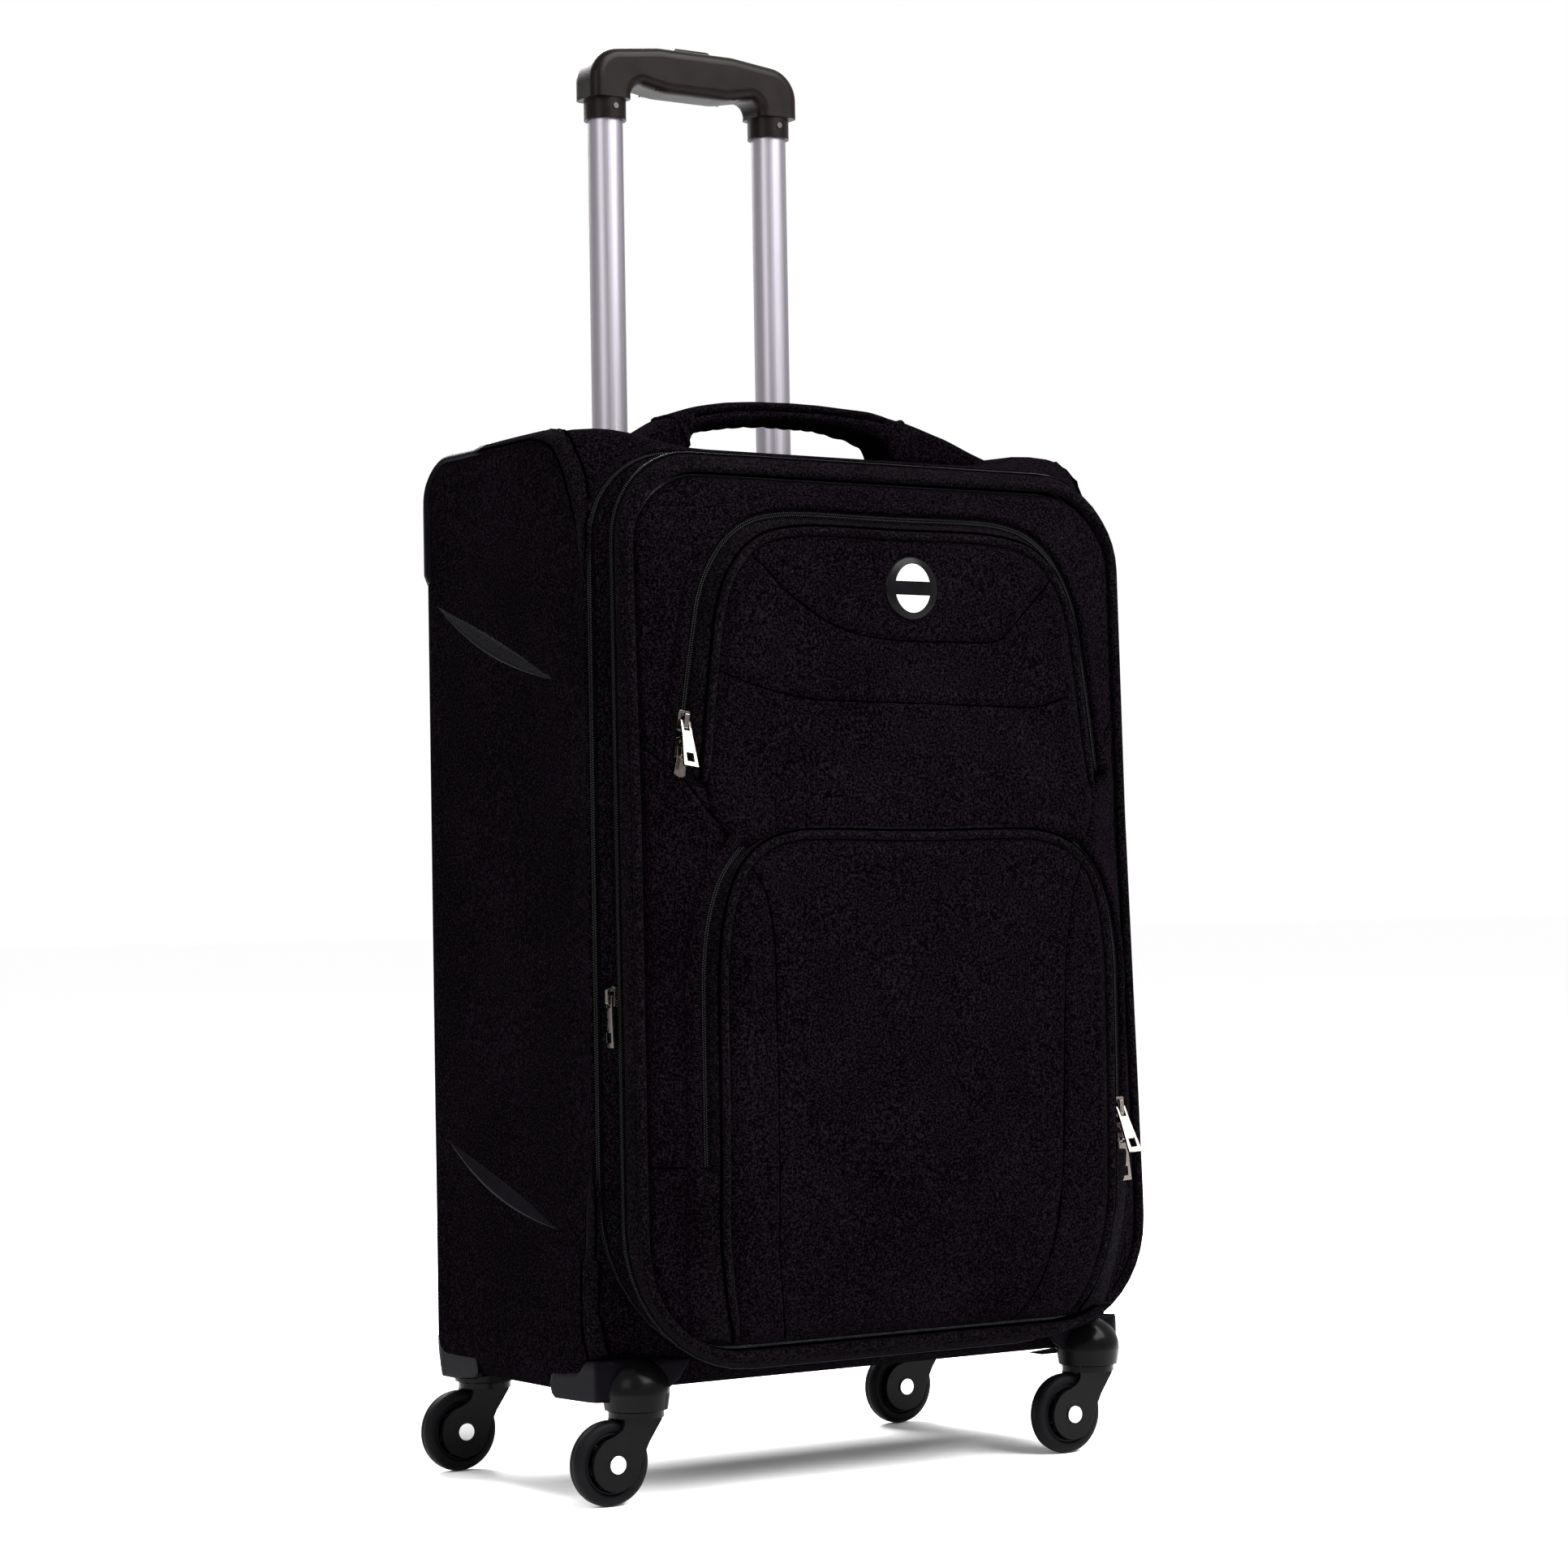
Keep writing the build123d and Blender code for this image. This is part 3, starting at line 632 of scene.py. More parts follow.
def arch_normals(line):
    """Unit vectors that point away from the area under an arch."""
    normals = []
    for i in range(len(line)):
        along = line[min(i + 1, len(line) - 1)] - line[max(i - 1, 0)]
        normals.append(Vector((-along.y, along.x)).normalized())
    return normals


def tree_of(lines, step=0.8):
    """A lookup of the distance to a set of (x, z) lines."""
    spots = []
    for line in lines:
        length = sum((Vector(q) - Vector(p)).length for p, q in zip(line, line[1:]))
        spots += resample(line, max(2, int(length / step)))
    lookup = KDTree(len(spots))
    for i, p in enumerate(spots):
        lookup.insert((p.x, p.y, 0.0), i)
    lookup.balance()
    return lambda x, z: lookup.find((x, z, 0.0))[2]


def quilted(distance, depth=1.5, puff=0.7):
    """How far a stitched seam pulls the padding back, and puffs it up beside the seam."""
    return depth * exp(-(distance / 1.7) ** 2) - puff * exp(-((distance - 5.5) / 3.5) ** 2)


# tape centre and piping of each pocket, left half, in (x, z)
COUNT = 330
UPPER_TAPE = arch([(-160, 446), (-156.3, 474), (-152, 503), (-147.5, 530), (-143, 552), (-135, 570),
                   (-123, 586), (-106, 597.5), (-86, 602.5), (-60, 604), (0, 603.5)], COUNT)
UPPER_CORD = arch([(-148.5, 437), (-145, 460), (-142, 485), (-138, 516), (-134.5, 539), (-127, 561),
                   (-114, 578), (-97, 588), (-75, 592), (-50, 593), (0, 592.5)], COUNT)
LOWER_TAPE = arch([(-149, 100), (-154, 130), (-156.5, 165), (-157, 205), (-157, 300), (-156.5, 325),
                   (-154, 346), (-149.5, 364), (-143, 379), (-134, 391), (-121, 402), (-104, 409.5),
                   (-84, 413), (-60, 414.5), (0, 413.5)], COUNT, 2.2)
LOWER_CORD = arch([(-129, 98.5), (-138, 120), (-144, 145), (-147, 170), (-147, 205), (-147, 300),
                   (-146.5, 325), (-144.5, 345), (-141, 361), (-135.5, 376), (-127, 388),
                   (-115, 397), (-99, 402.5), (-75, 404.5), (0, 403.5)], COUNT, 2.2)
UPPER_TAPE_Y, LOWER_TAPE_Y = -131.2, -148.2
UPPER_SEAMS = [
    [(-115, 580), (-88, 554), (-61, 537), (-36, 529), (-4, 526), (39, 526), (68, 527), (84, 537),
     (123, 573)],
    [(-143, 508), (-122, 499), (-96, 492), (-70, 488), (-5, 487), (60, 486), (101, 486), (128, 493)],
]
LOWER_SEAMS = [
    [(-125, 386), (-116, 370), (-112, 352), (-110, 326), (-109, 207), (-108, 153), (-100, 112), (-93, 97)],
    [(129, 386), (120, 370), (116, 352), (112, 326), (109.5, 280), (106, 181), (97, 128), (81, 96)],
]
DIAGONALS = [
    [(-187, 468), (-178, 457), (-160, 439), (-145, 417), (-131, 400)],
    [(187, 486), (164, 462), (155, 447), (146, 427), (138, 402)],
]
ZIP_END = 205.0
lower_edge = curve_through([(95, -134.5), (100, -138.5), (108, -143), (120, -147), (140, -151.3),
                            (165, -154.4), (200, -156.2), (240, -156.8)])
upper_edge = curve_through([(398, -150.0), (420, -147.5), (440, -144.6), (470, -143.0), (593, -142.4)])


def face_level(z):
    """How far the lid's face stands out where it meets the pockets."""
    if z < ZIP_END:
        return lerp(-134.0, -150.4, smoothstep((z - 94) / 90))
    return lerp(-150.4, -133.5, smoothstep((z - 395) / 75))


FACE_OUTLINE = resample(ring(184.0, 94.5, 626.5, 56, 51, lid_width) + [(-128.0, 94.5)], 1000)[:-1]
FACE_SEAMS = DIAGONALS + [[(-188, ZIP_END), (-144, ZIP_END)], [(188, ZIP_END), (150, ZIP_END)]]
LOWER_ZIP = [p for p in LOWER_TAPE if p.y > ZIP_END]
to_edge = tree_of([FACE_OUTLINE])
to_seams = tree_of(FACE_SEAMS)
to_zips = tree_of([UPPER_TAPE, LOWER_ZIP])
to_pockets = tree_of([UPPER_TAPE, LOWER_ZIP, [p for p in LOWER_CORD if p.y < ZIP_END],
                      DIAGONALS[0][2:], DIAGONALS[1][2:]])


def face_y(x, z):
    """The lid's face: a rolled edge at the groove, then a slope that eases out at the pockets."""
    d = to_edge(x, z)
    reach = max(0.1, to_pockets(x, z) - 5.5)
    share = min(1.0, d / (d + reach))
    base = lean(z) + 2.0 - 3.4 * smoothstep(d / 3.5)
    y = lerp(base, face_level(z), share)
    if d > 1:
        y += quilted(to_seams(x, z), 2.2, 0.9)
    return y - 0.6 * soft_noise(x, 0, z, 45, 4.2) * smoothstep(d / 8)


def lid_face():
    """The padded face between the lid's groove and the pockets, which hide its middle."""
    rows = []
    for share in (1.0, 0.996, 0.99, 0.983, 0.976, 0.969, 0.962, 0.955, 0.948, 0.941, 0.934, 0.927,
                  0.92, 0.912, 0.904, 0.896, 0.888, 0.88, 0.872, 0.864, 0.85, 0.83, 0.8, 0.7, 0.5,
                  0.3, 0.1):
        row = []
        for p in FACE_OUTLINE:
            x, z = p.x * share, FACE_MIDDLE + (p.y - FACE_MIDDLE) * share
            row.append((x, face_y(x, z) + 9.0 * smoothstep((7.0 - to_zips(x, z)) / 2.0), z))
        rows.append(row)
    face = piece("lid_face", loft(rows, cap_last=True), FABRIC, "lid_front", replaces=("lid_panel",),
                 thick=1.8)
    stitches("lid_face", skin_of(face), FACE_SEAMS)


def stitches(name, skin, seams):
    """Thread laid in the seams of a padded panel."""
    for i, line in enumerate(seams):
        path = hits(on_skin(skin, (p.x, -190, p.y), (0, 1, 0))
                    for p in resample(bezier_like(line, 10), 120))
        if len(path) > 3:
            piece(f"{name}_seam_{i + 1}", cord(path, 0.6), THREAD_AND_GROOVE_SHADE, "lid_front")


def surround(name, tape, cord, tape_y, edge, zip_end=None):
    """The flap over a pocket's zipper, and the recess and flange between zipper and piping."""
    flap_rows, flange_rows = [], []
    flap = tape_y - 2.3
    for t, c, nt, nc in zip(tape, cord, arch_normals(tape), arch_normals(cord)):
        closed = smoothstep((zip_end - t.y) / 5) if zip_end else 0.0
        front = edge(c.y)
        inner, outer = t - nt * 4.8, c + nc * 3.0

        def slope(distance):
            return face_y(t.x + nt.x * distance, t.y + nt.y * distance)

        flap_steps = [
            (t + nt * 10.5, slope(10.5) + 0.8, None),
            (t + nt * 9.4, slope(9.4) - 0.02, None),
            (t + nt * 8.2, lerp(slope(8.2), flap, 0.15), 0.10),
            (t + nt * 6.8, lerp(slope(6.8), flap, 0.6), 0.18),
            (t + nt * 5.4, flap, 0.24),
            (t + nt * 4.7, flap + 0.35, 0.30),
            (t + nt * 4.3, flap + 1.6, 0.34),
            (t + nt * 4.0, tape_y + 0.7, 0.36),
        ]
        flange_steps = [
            (t + nt * 4.2, tape_y + 0.7, 0.36),
            (t - nt * 4.0, tape_y + 0.7, 0.62),
            (t - nt * 4.2, tape_y - 0.6, 0.66),
            (inner, tape_y - 1.8, 0.70),
            (inner.lerp(outer, 0.3), lerp(tape_y - 2.6, front + 2.2, 0.3), 0.78),
            (inner.lerp(outer, 0.7), lerp(tape_y - 2.6, front + 1.2, 0.75), 0.88),
            (inner.lerp(outer, 0.94), front + 1.6, 0.96),
            (outer, front + 3.6, None),
            (c, front + 3.6, None),
            (c - nc * 3.4, front + 3.2, None),
        ]
        for steps, rows in ((flap_steps, flap_rows), (flange_steps, flange_rows)):
            row = []
            for p, y, along in steps:
                if along is not None:
                    y = lerp(y, lerp(face_level(t.y), front + 1.5, along), closed)
                row.append((p.x, y, p.y))
            rows.append(row[::-1])
    piece(f"{name}_flap", loft(flap_rows, closed=False), FABRIC, "lid_front", thick=1.2)
    piece(f"{name}_flange", loft(flange_rows, closed=False), BINDING, "lid_front", thick=1.2)


def pocket_panel(name, cord, edge, seams, bottom, centre, replaces, crown, rings, seed):
    """The padded front of a pocket: rolled at its piping, quilted along its seams."""
    normals = arch_normals(cord)
    outline = [c - n * 3.6 for c, n in zip(cord, normals)]
    outline += resample([outline[-1]] + bottom + [outline[0]], 110)[1:-1]
    seam = tree_of(seams)
    border = tree_of([outline + outline[:1]])
    rows = []
    for k in range(rings + 1):
        share = 1 - k / rings * 0.985
        if k in (1, 2):
            share = 1 - (0.22 * k) / rings
        row = []
        for p in outline:
            x, z = lerp(centre[0], p.x, share), lerp(centre[1], p.y, share)
            d = border(x, z) if k else 0.0
            y = edge(z) + 2.6 - 3.8 * smoothstep(d / 2.6) - 1.0 * smoothstep((d - 2) / 8)
            y -= crown * smoothstep(d / 90)
            y += quilted(seam(x, z)) * smoothstep(d / 3)
            uneven = 0.8 * soft_noise(x, 0, z, 60, seed) + 0.25 * soft_noise(x, 1, z, 17, seed)
            y -= uneven * smoothstep(d / 10)
            row.append((x, y, z))
        rows.append(row)
    panel = piece(name, loft(rows, cap_last=True), FABRIC, "lid_front", replaces=replaces, thick=1.8)
    stitches(name, skin_of(panel), seams)


def pockets():
    surround("upper_pocket_surround", UPPER_TAPE, UPPER_CORD, UPPER_TAPE_Y, upper_edge)
    surround("lower_pocket_surround", LOWER_TAPE, LOWER_CORD, LOWER_TAPE_Y, lower_edge, ZIP_END)
    pocket_panel("upper_pocket_front", UPPER_CORD, upper_edge, UPPER_SEAMS,
                 [(146.5, 428), (137, 400), (-127, 398), (-144.5, 420)], (0, 490),
                 ("upper_pocket",), 1.6, 52, 2.3)
    pocket_panel("lower_pocket_front", LOWER_CORD, lower_edge, LOWER_SEAMS,
                 [(120, 96), (-115, 96)], (2.2, 250), ("lower_pocket",), 2.2, 66, 5.9)
    for label, line, edge in (("upper", UPPER_CORD, upper_edge), ("lower", LOWER_CORD, lower_edge)):
        path = [(p.x, edge(p.y) + 0.2, p.y) for p in line]
        outs = [(n.x * 0.5, -0.85, n.y * 0.5) for n in arch_normals(line)]
        piping = sweep(path, outs, round_profile(2.7, 12), closed=False,
                       ends=lambda t: min(1.0, 0.35 + 30 * min(t, 1 - t)))
        piece(f"{label}_pocket_piping", piping, BINDING, "lid_front")
        # Painted shade: near-black cords laid along both sides of the piping stand in for the shadow in the
        # grooves there; they are not seams.
        painted_groove_shades = []
        for away in (3.5, -3.4):
            beside = [(p.x + n.x * away, edge(p.y) + (0.6 if away > 0 else 1.2), p.y + n.y * away)
                      for p, n in zip(line, arch_normals(line))]
            painted_groove_shades.append(cord(beside, 0.85))
        piece(f"{label}_pocket_grooves", merged(*painted_groove_shades), THREAD_AND_GROOVE_SHADE, "lid_front")
    for label, line, y, low in (("upper", UPPER_TAPE, UPPER_TAPE_Y, 0),
                                ("lower", LOWER_TAPE, LOWER_TAPE_Y, ZIP_END)):
        path = [(p.x, y, p.y) for p in line if p.y > low]
        outs = [FRONT] * len(path)
        strip = [(-4.0, -0.5), (4.0, -0.5), (4.0, 0.1), (-4.0, 0.1)]
        piece(f"{label}_pocket_tape", sweep(path, outs, strip, closed=False), TAPE, "lid_front",
              ("pocket_zippers",))
        piece(f"{label}_pocket_coil", teeth(path, outs, closed=False), COIL, "lid_front")


def badge():
    """A glossy disc with a pale oval, split by a dark band; it carries no mark."""
    bx, bz, y = 5.0, 559.0, -149.2

    def disc(rx, rz, y0, y1, round_edge, turns=72):
        rings = []
        for inset, depth in ((0, y0), (0, lerp(y0, y1, 0.6)), (round_edge * 0.3, lerp(y0, y1, 0.87)),
                             (round_edge, y1)):
            rings.append([(bx + (rx - inset) * cos(2 * pi * k / turns), depth,
                           bz + (rz - inset) * sin(2 * pi * k / turns)) for k in range(turns)])
        return loft(rings[::-1], cap_first=True)

    piece("badge_disc", disc(20, 20, -144.0, y, 1.4), GLOSS, "lid_front", ("badge",))
    for label, sign in (("upper", 1), ("lower", -1)):
        points = []
        for k in range(37):
            a = radians(lerp(16.5, 163.5, k / 36)) * sign
            points.append((bx + 13.4 * cos(a), bz + 15.4 * sin(a)))
        rows = [[(x, y - depth, z) for x, z in points] for depth in (-0.2, 0.35)]
        if sign > 0:
            rows.reverse()
        piece(f"badge_inlay_{label}", loft(rows, cap_last=sign < 0, cap_first=sign > 0), PALE,
              "lid_front", smooth=False)


def lid():
    rear, flange = lid_rows()
    piece("lid_gusset_fabric", loft(rear), FABRIC, "lid_frame", replaces=("lid_gusset",), thick=1.6)
    piece("lid_flange", loft(flange), BINDING, "lid_front", thick=1.4)
    path = lid_piping_path()
    piping = sweep(path, outward(path, 0.5), round_profile(3.0, 12))
    piece("lid_piping", piping, BINDING, "lid_front")
    lid_face()
    pockets()
    badge()


def zipper(name, path, outs, body_rear, body_front, replaces, width=6.0):
    """Tape and coil; the two halves ride on the bodies that they are sewn to."""
    for side, body, sign in (("rear", body_rear, 1), ("front", body_front, -1)):
        offset = sign * (width / 4 + 0.6)
        profile = [(offset - width / 4, -0.5), (offset + width / 4, -0.5),
                   (offset + width / 4, 0.25), (offset - width / 4, 0.25)]
        piece(f"{name}_tape_{side}", sweep(path, outs, profile), TAPE, body,
              replaces if side == "rear" else ())
        piece(f"{name}_coil_{side}", teeth(path, outs, (sign,)), COIL, body)


def edge_zippers():
    one = flared([(x, ZIP_ONE_Y, z) for x, z in ring(191.0, 77.4, 641.4, 108, 57)], MOUTH_FLARE)
    zipper("main_zip", one, outward(one, 0.3), "case", "lid_frame", ("main_zipper",), width=4.6)
    two = [(x, zip_two_y(z), z) for x, z in ring(190.6, 77.8, 641.0, 90, 56)]
    zipper("expansion_zip", two, outward(two, 0.05), "lid_frame", "lid_front", ("expansion_zipper",))


def cut_cup_hole(obj):
    """Opens the shell where the trolley cup is sunk into its rear top edge."""
    shape = bmesh.new()
    shape.from_mesh(obj.data)
    limits = (((CUP_HALF, 0, 0), (1, 0, 0)), ((-CUP_HALF, 0, 0), (1, 0, 0)),
              ((0, CUP_FRONT, 0), (0, 1, 0)), ((0, 0, CUP_FLOOR), (0, 0, 1)))
    for spot, normal in limits:
        near = []
        for face in shape.faces:
            middle = mm(face.calc_center_median())
            if middle.y > 40 and middle.z > 560:
                near.append(face)
        geometry = list({v for f in near for v in f.verts} | {e for f in near for e in f.edges} | set(near))
        bmesh.ops.bisect_plane(shape, geom=geometry, plane_co=at(*spot), plane_no=Vector(normal),
                               dist=1e-6)
    inside = []
    for face in shape.faces:
        middle = mm(face.calc_center_median())
        if abs(middle.x) < CUP_HALF and middle.y > CUP_FRONT and middle.z > CUP_FLOOR:
            inside.append(face)
    bmesh.ops.delete(shape, geom=inside, context="FACES")
    shape.to_mesh(obj.data)
    shape.free()


def carry_handle():
    """A padded strap arched over the top, with a bound seam where the grip starts."""
    crown = curve_through([(-144, 654.5), (-138, 657.5), (-128, 663.5), (-116, 670.5), (-104, 676),
                           (-88, 680.8), (-66, 684.6), (-40, 686.3), (0, 686.8), (43, 684.6),
                           (72, 679.5), (102, 670.5), (122, 662.5), (138, 657), (144, 654.5)])
    under = curve_through([(-99.5, 650), (-98.5, 657), (-93, 663), (-80, 666), (-58, 669.4), (-28, 672.4),
                           (15, 670.8), (40, 666.2), (50, 662), (54.5, 658), (56, 652)])
    rows, xs = [], [-144 + 2.4 * k for k in range(121)]
    for x in xs:
        top, low = crown(x), under(x) if -99.6 < x < 56.4 else 647.0
        low = min(low, top - 2.5)
        half_w, half_h = 17.0 - 1.5 * smoothstep((abs(x) - 120) / 24), (top - low) / 2
        gripped = smoothstep((x + 98) / 6) * smoothstep((62 - x) / 8)
        fold = 0.55 * sin(x * 0.55 + 2 * sin(x * 0.08)) * gripped
        row = []
        for k in range(80):
            a = 2 * pi * k / 80
            c, n = cos(a), sin(a)
            y = -40 + half_w * copysign(abs(c) ** 0.62, c)
            z = (top + low) / 2 + half_h * copysign(abs(n) ** 0.62, n)
            if c < 0:
                away = (z - (top - 6.4)) / 1.5
                y += (2.2 * exp(-away * away) - 0.5 * exp(-(abs(away) - 2.6) ** 2)) * gripped
            if n < 0:
                z += fold * abs(n)
            row.append((x, y, z + 0.5 * soft_noise(x, y, 0, 22, 8.0)))
        rows.append(row)
    handle = piece("carry_handle_padding", loft(rows, cap_first=True, cap_last=True), FABRIC, "case",
                   replaces=("carry_handle",), subdivide=1)
    skin = skin_of(handle)
    for label, foot, lean_out in (("left", -99.8, -13.5), ("right", 58.0, 13.5)):
        loop, outs = [], []
        for k in range(41):
            a = pi * (1.0 - k / 40)
            c, n = cos(a), sin(a)
            x = foot + lean_out * n
            ray = Vector((0, -c, -n)).normalized()
            centre = Vector((x, -40, 652 + (crown(x) - 664) * n))
            found = on_skin(skin, centre - ray * 60, ray)
            if found:
                loop.append(found[0])
                outs.append((0, c, n + 0.01))
        binding = sweep(loop, outs, round_profile(1.6, 8), closed=False)
        piece(f"handle_binding_{label}", binding, BINDING, "case")
    path = hits(on_skin(skin, (x, -90, crown(x) - 6.4), (0, 1, 0)) for x in range(-96, 54, 3))
    piece("handle_seam", cord(path, 0.6), THREAD_AND_GROOVE_SHADE, "case")


def grip_ribs():
    """Fine ribs under the grip, where the fingers close."""
    shapes = []
    for k in range(-12, 13):
        x = 2.6 * k
        path = [(x, 98.8 + y, 916.3 - 0.0016 * y * y) for y in range(-12, 13, 3)]
        shapes.append(cord(path, 0.9, out=(0, 0, -1)))
    piece("grip_ribs", merged(*shapes), GRIP, "upper_stage")


def guard_line():
    """(y, z) and outward (y, z) along the strip over a rear top edge, down to its tip."""
    spots = [((y, TOP), (0.0, 1.0)) for y in range(36, 82, 3)]
    middle_y, middle_z = BACK - REAR_TOP_R, TOP - REAR_TOP_R
    for k in range(31):
        a = radians(90 - 3 * k)
        spots.append(((middle_y + REAR_TOP_R * cos(a), middle_z + REAR_TOP_R * sin(a)),
                      (cos(a), sin(a))))
    return spots + [((BACK, z), (1.0, 0.0)) for z in range(616, 575, -2)]


def guard_strips():
    """Moulded strips over the rear top edges: ribbed round the bend, with a smooth tip below."""
    line = guard_line()
    last = len(line) - 1
    for label, side in SIDES:
        rows, ribs = [], []
        for i, ((y, z), (ny, nz)) in enumerate(line):
            share = i / last
            bend = smoothstep((share - 0.25) / 0.45)
            radius = lerp(8.0, REAR_R, bend)
            centre = Vector((side * (HALF - radius), y - ny * radius, z - nz * radius))
            stop = lerp(30.0, 0.0, bend)
            reach = lerp(20.0, 10.0, smoothstep((share - 0.75) / 0.25))
            end = min(1.0, (last - i) / 3, i / 2)
            row = []
            for k in range(15):
                if k < 5:
                    start = centre - Vector((side, 0, 0)) * (reach * (1 - k / 5) - 1.0)
                    away = Vector((0, ny, nz))
                else:
                    a = radians(lerp(90.0, stop, (k - 5) / 9))
                    start = centre
                    away = Vector((side * cos(a), ny * sin(a), nz * sin(a)))
                found = on_skin(SHELL, start + away * 70, -away)
                spot = Vector(found[0]) if found else start + away * radius
                edge = 0.0 if k in (0, 14) else 1.0
                row.append(tuple(spot + away * (2.0 * edge * end - 0.6)))
            rows.append(row)
            if i % 2 == 0 and 3 < i < last * 0.80 or i in (3, 9):
                ribs.append(sweep(row[1:14], [(0, ny, nz)] * 4 + [(side, ny, nz)] * 9,
                                  round_profile(0.75, 6), closed=False))
        piece(f"guard_strip_{label}", loft(rows, closed=False), SATIN, "case",
              ("top_corner_guards",), thick=1.2)
        piece(f"guard_ribs_{label}", merged(*ribs), SATIN, "case")


GUARD_SHAPES = {
    "front": {
        "corner": (-200.4, -98.5), "radius": 9.5, "start": -36.0,
        "top": [(-62.5, 69), (-61, 75), (-58, 77.5), (-40, 78.5), (-29, 79), (-24.5, 81.5), (-22, 85),
                (-18, 86.5), (0, 87.5), (22, 87.5), (60, 85.8), (63.4, 85)],
        "low": [(-62.5, 68), (-61, 62.5), (-58, 60.5), (-17, 61.5), (0, 62.5), (40, 63), (49.8, 69),
                (55.7, 73), (60, 78.5), (63.4, 84.5)],
        "tuck": [(60, 0), (90, 0)],
    },
    "rear": {
        "corner": (-200.4, 122.1), "radius": 17.0, "start": 56.0,
        "top": [(-66, 69), (-64.5, 77), (-61, 79.8), (-38, 79.5), (-34, 80), (-29, 84.5), (-24, 87),
                (0, 87.5), (60, 85.5), (63.4, 85)],
        "low": [(-66, 67), (-64.5, 64), (-60, 62.5), (-41, 60.5), (0, 60.5), (40, 62), (50, 69),
                (56, 73), (60, 78.5), (63.4, 84.5)],
        "tuck": [(60, 20), (66, 9), (74, 3), (82, 0)],
    },
}


def corner_guards():
    """Moulded shells round the lower corners, with a stepped top edge on the side."""
    for end, shape in GUARD_SHAPES.items():
        corner_x, corner_y = shape["corner"]
        radius, front = shape["radius"], copysign(1, corner_y)
        top, low, tuck = (curve_through(shape[key]) for key in ("top", "low", "tuck"))
        plan = []
        for k in range(31):
            y = lerp(shape["start"], corner_y - front * radius, k / 30)
            plan.append((corner_x, y, -1.0, 0.0, -abs(corner_y - y)))
        for k in range(1, 12):
            a = radians(90 * k / 12)
            x = corner_x + radius * (1 - cos(a))
            y = corner_y - front * radius * (1 - sin(a))
            plan.append((x, y, -cos(a), front * sin(a), lerp(-radius, radius, k / 12)))
        for k in range(31):
            x = lerp(corner_x + radius, -137.0, k / 30)
            plan.append((x, corner_y, 0.0, front, x - corner_x))
        for label, side in (("left", 1), ("right", -1)):
            rows = []
            for x, y, nx, ny, u in plan:
                row = []
                for share, back in ((0, 3.4), (0, 0.8), (0.08, 0.1), (0.25, 0), (0.5, 0), (0.75, 0),
                                    (0.92, 0.1), (1, 0.8), (1, 3.4)):
                    z = lerp(low(u), top(u), share)
                    row.append((side * (x - nx * back), y - ny * (back + tuck(z)), z))
                rows.append(row if side * front < 0 else row[::-1])
            inner, outer = shape["start"] + front * 8, corner_y - front * 22
            sole = loft([[(side * -198, inner, 62.6), (side * -198, outer, 62.6)],
                         [(side * -150, inner + front * 16, 62.6), (side * -150, outer, 62.6)]],
                        closed=False)
            piece(f"guard_{end}_{label}", merged(loft(rows, closed=False), sole), SATIN, "case",
                  (f"corner_guard_{end}_{label}",))


def opening_rim():
    """The stiff band just inside the case's mouth."""
    section = ((-94.8, 2.0), (-94.8, 4.4), (-88, 5.0), (-80, 5.0), (-72, 5.0))
    rows = [body_ring(y, inset) for y, inset in section]
    piece("opening_rim", loft(rows), BOARD, "case", ("opening_frame",),
          thick=1.0)


def back_piping():
    """The piping round the back panel, open where the trolley cup interrupts it."""
    outline = body_ring(112.5)
    over_cup = [i for i, (x, _, z) in enumerate(outline) if z > 600 and abs(x) < 104]
    path = outline[over_cup[-1] + 1:] + outline[:over_cup[0]]
    outs = outward(outline, -0.5)
    outs = outs[over_cup[-1] + 1:] + outs[:over_cup[0]]
    piece("back_piping", sweep(path, outs, round_profile(1.35, 8), closed=False), BINDING, "case")


def side_fins():
    """Two slanted blades on each side, with a crest near their lower edge."""
    section = [(-1.0, -4.0), (-0.98, 0.25), (-0.4, 0.5), (0.15, 0.75), (0.55, 1.0), (0.8, 0.92),
               (0.98, 0.4), (1.0, -4.0)]
    for label, side in SIDES:
        for level, (high_end, low_end) in (("upper", ((103, 565), (-57.5, 503))),
                                           ("lower", ((94, 216), (-54, 164)))):
            start, stop = Vector(high_end), Vector(low_end)
            along = (stop - start).normalized()
            down = Vector((along.y, -along.x))
            if down.y > 0:
                down = -down
            rows = []
            for k in range(61):
                t = k / 60
                swell = 0.06 + 0.94 * sin(pi * t) ** 0.8
                bow = 4.6 * sin(pi * t)
                crest = 1.2 + 4.2 * sin(pi * t) ** 0.6
                row = []
                for u, height in section:
                    spot = start.lerp(stop, t) + down * (6.6 * swell * u + bow)
                    x = HALF + 0.3 - fall(spot.x, BACK, REAR_R) + (crest * height if height > 0 else height)
                    row.append((side * x, spot.x, spot.y))
                rows.append(row if side < 0 else row[::-1])
            piece(f"fin_{level}_{label}", loft(rows, cap_first=True, cap_last=True), SATIN, "case",
                  ("side_fins",), subdivide=1)


def lathe(profile, centre, turns=72):
    """A ring turned about an axis along Y through centre, from (radius, y) points."""
    rows = []
    for k in range(turns):
        a = 2 * pi * k / turns
        rows.append([(centre[0] + r * cos(a), centre[1] + y, centre[2] + r * sin(a))
                     for r, y in profile])
    rows.append(rows[0])
    return loft(rows)


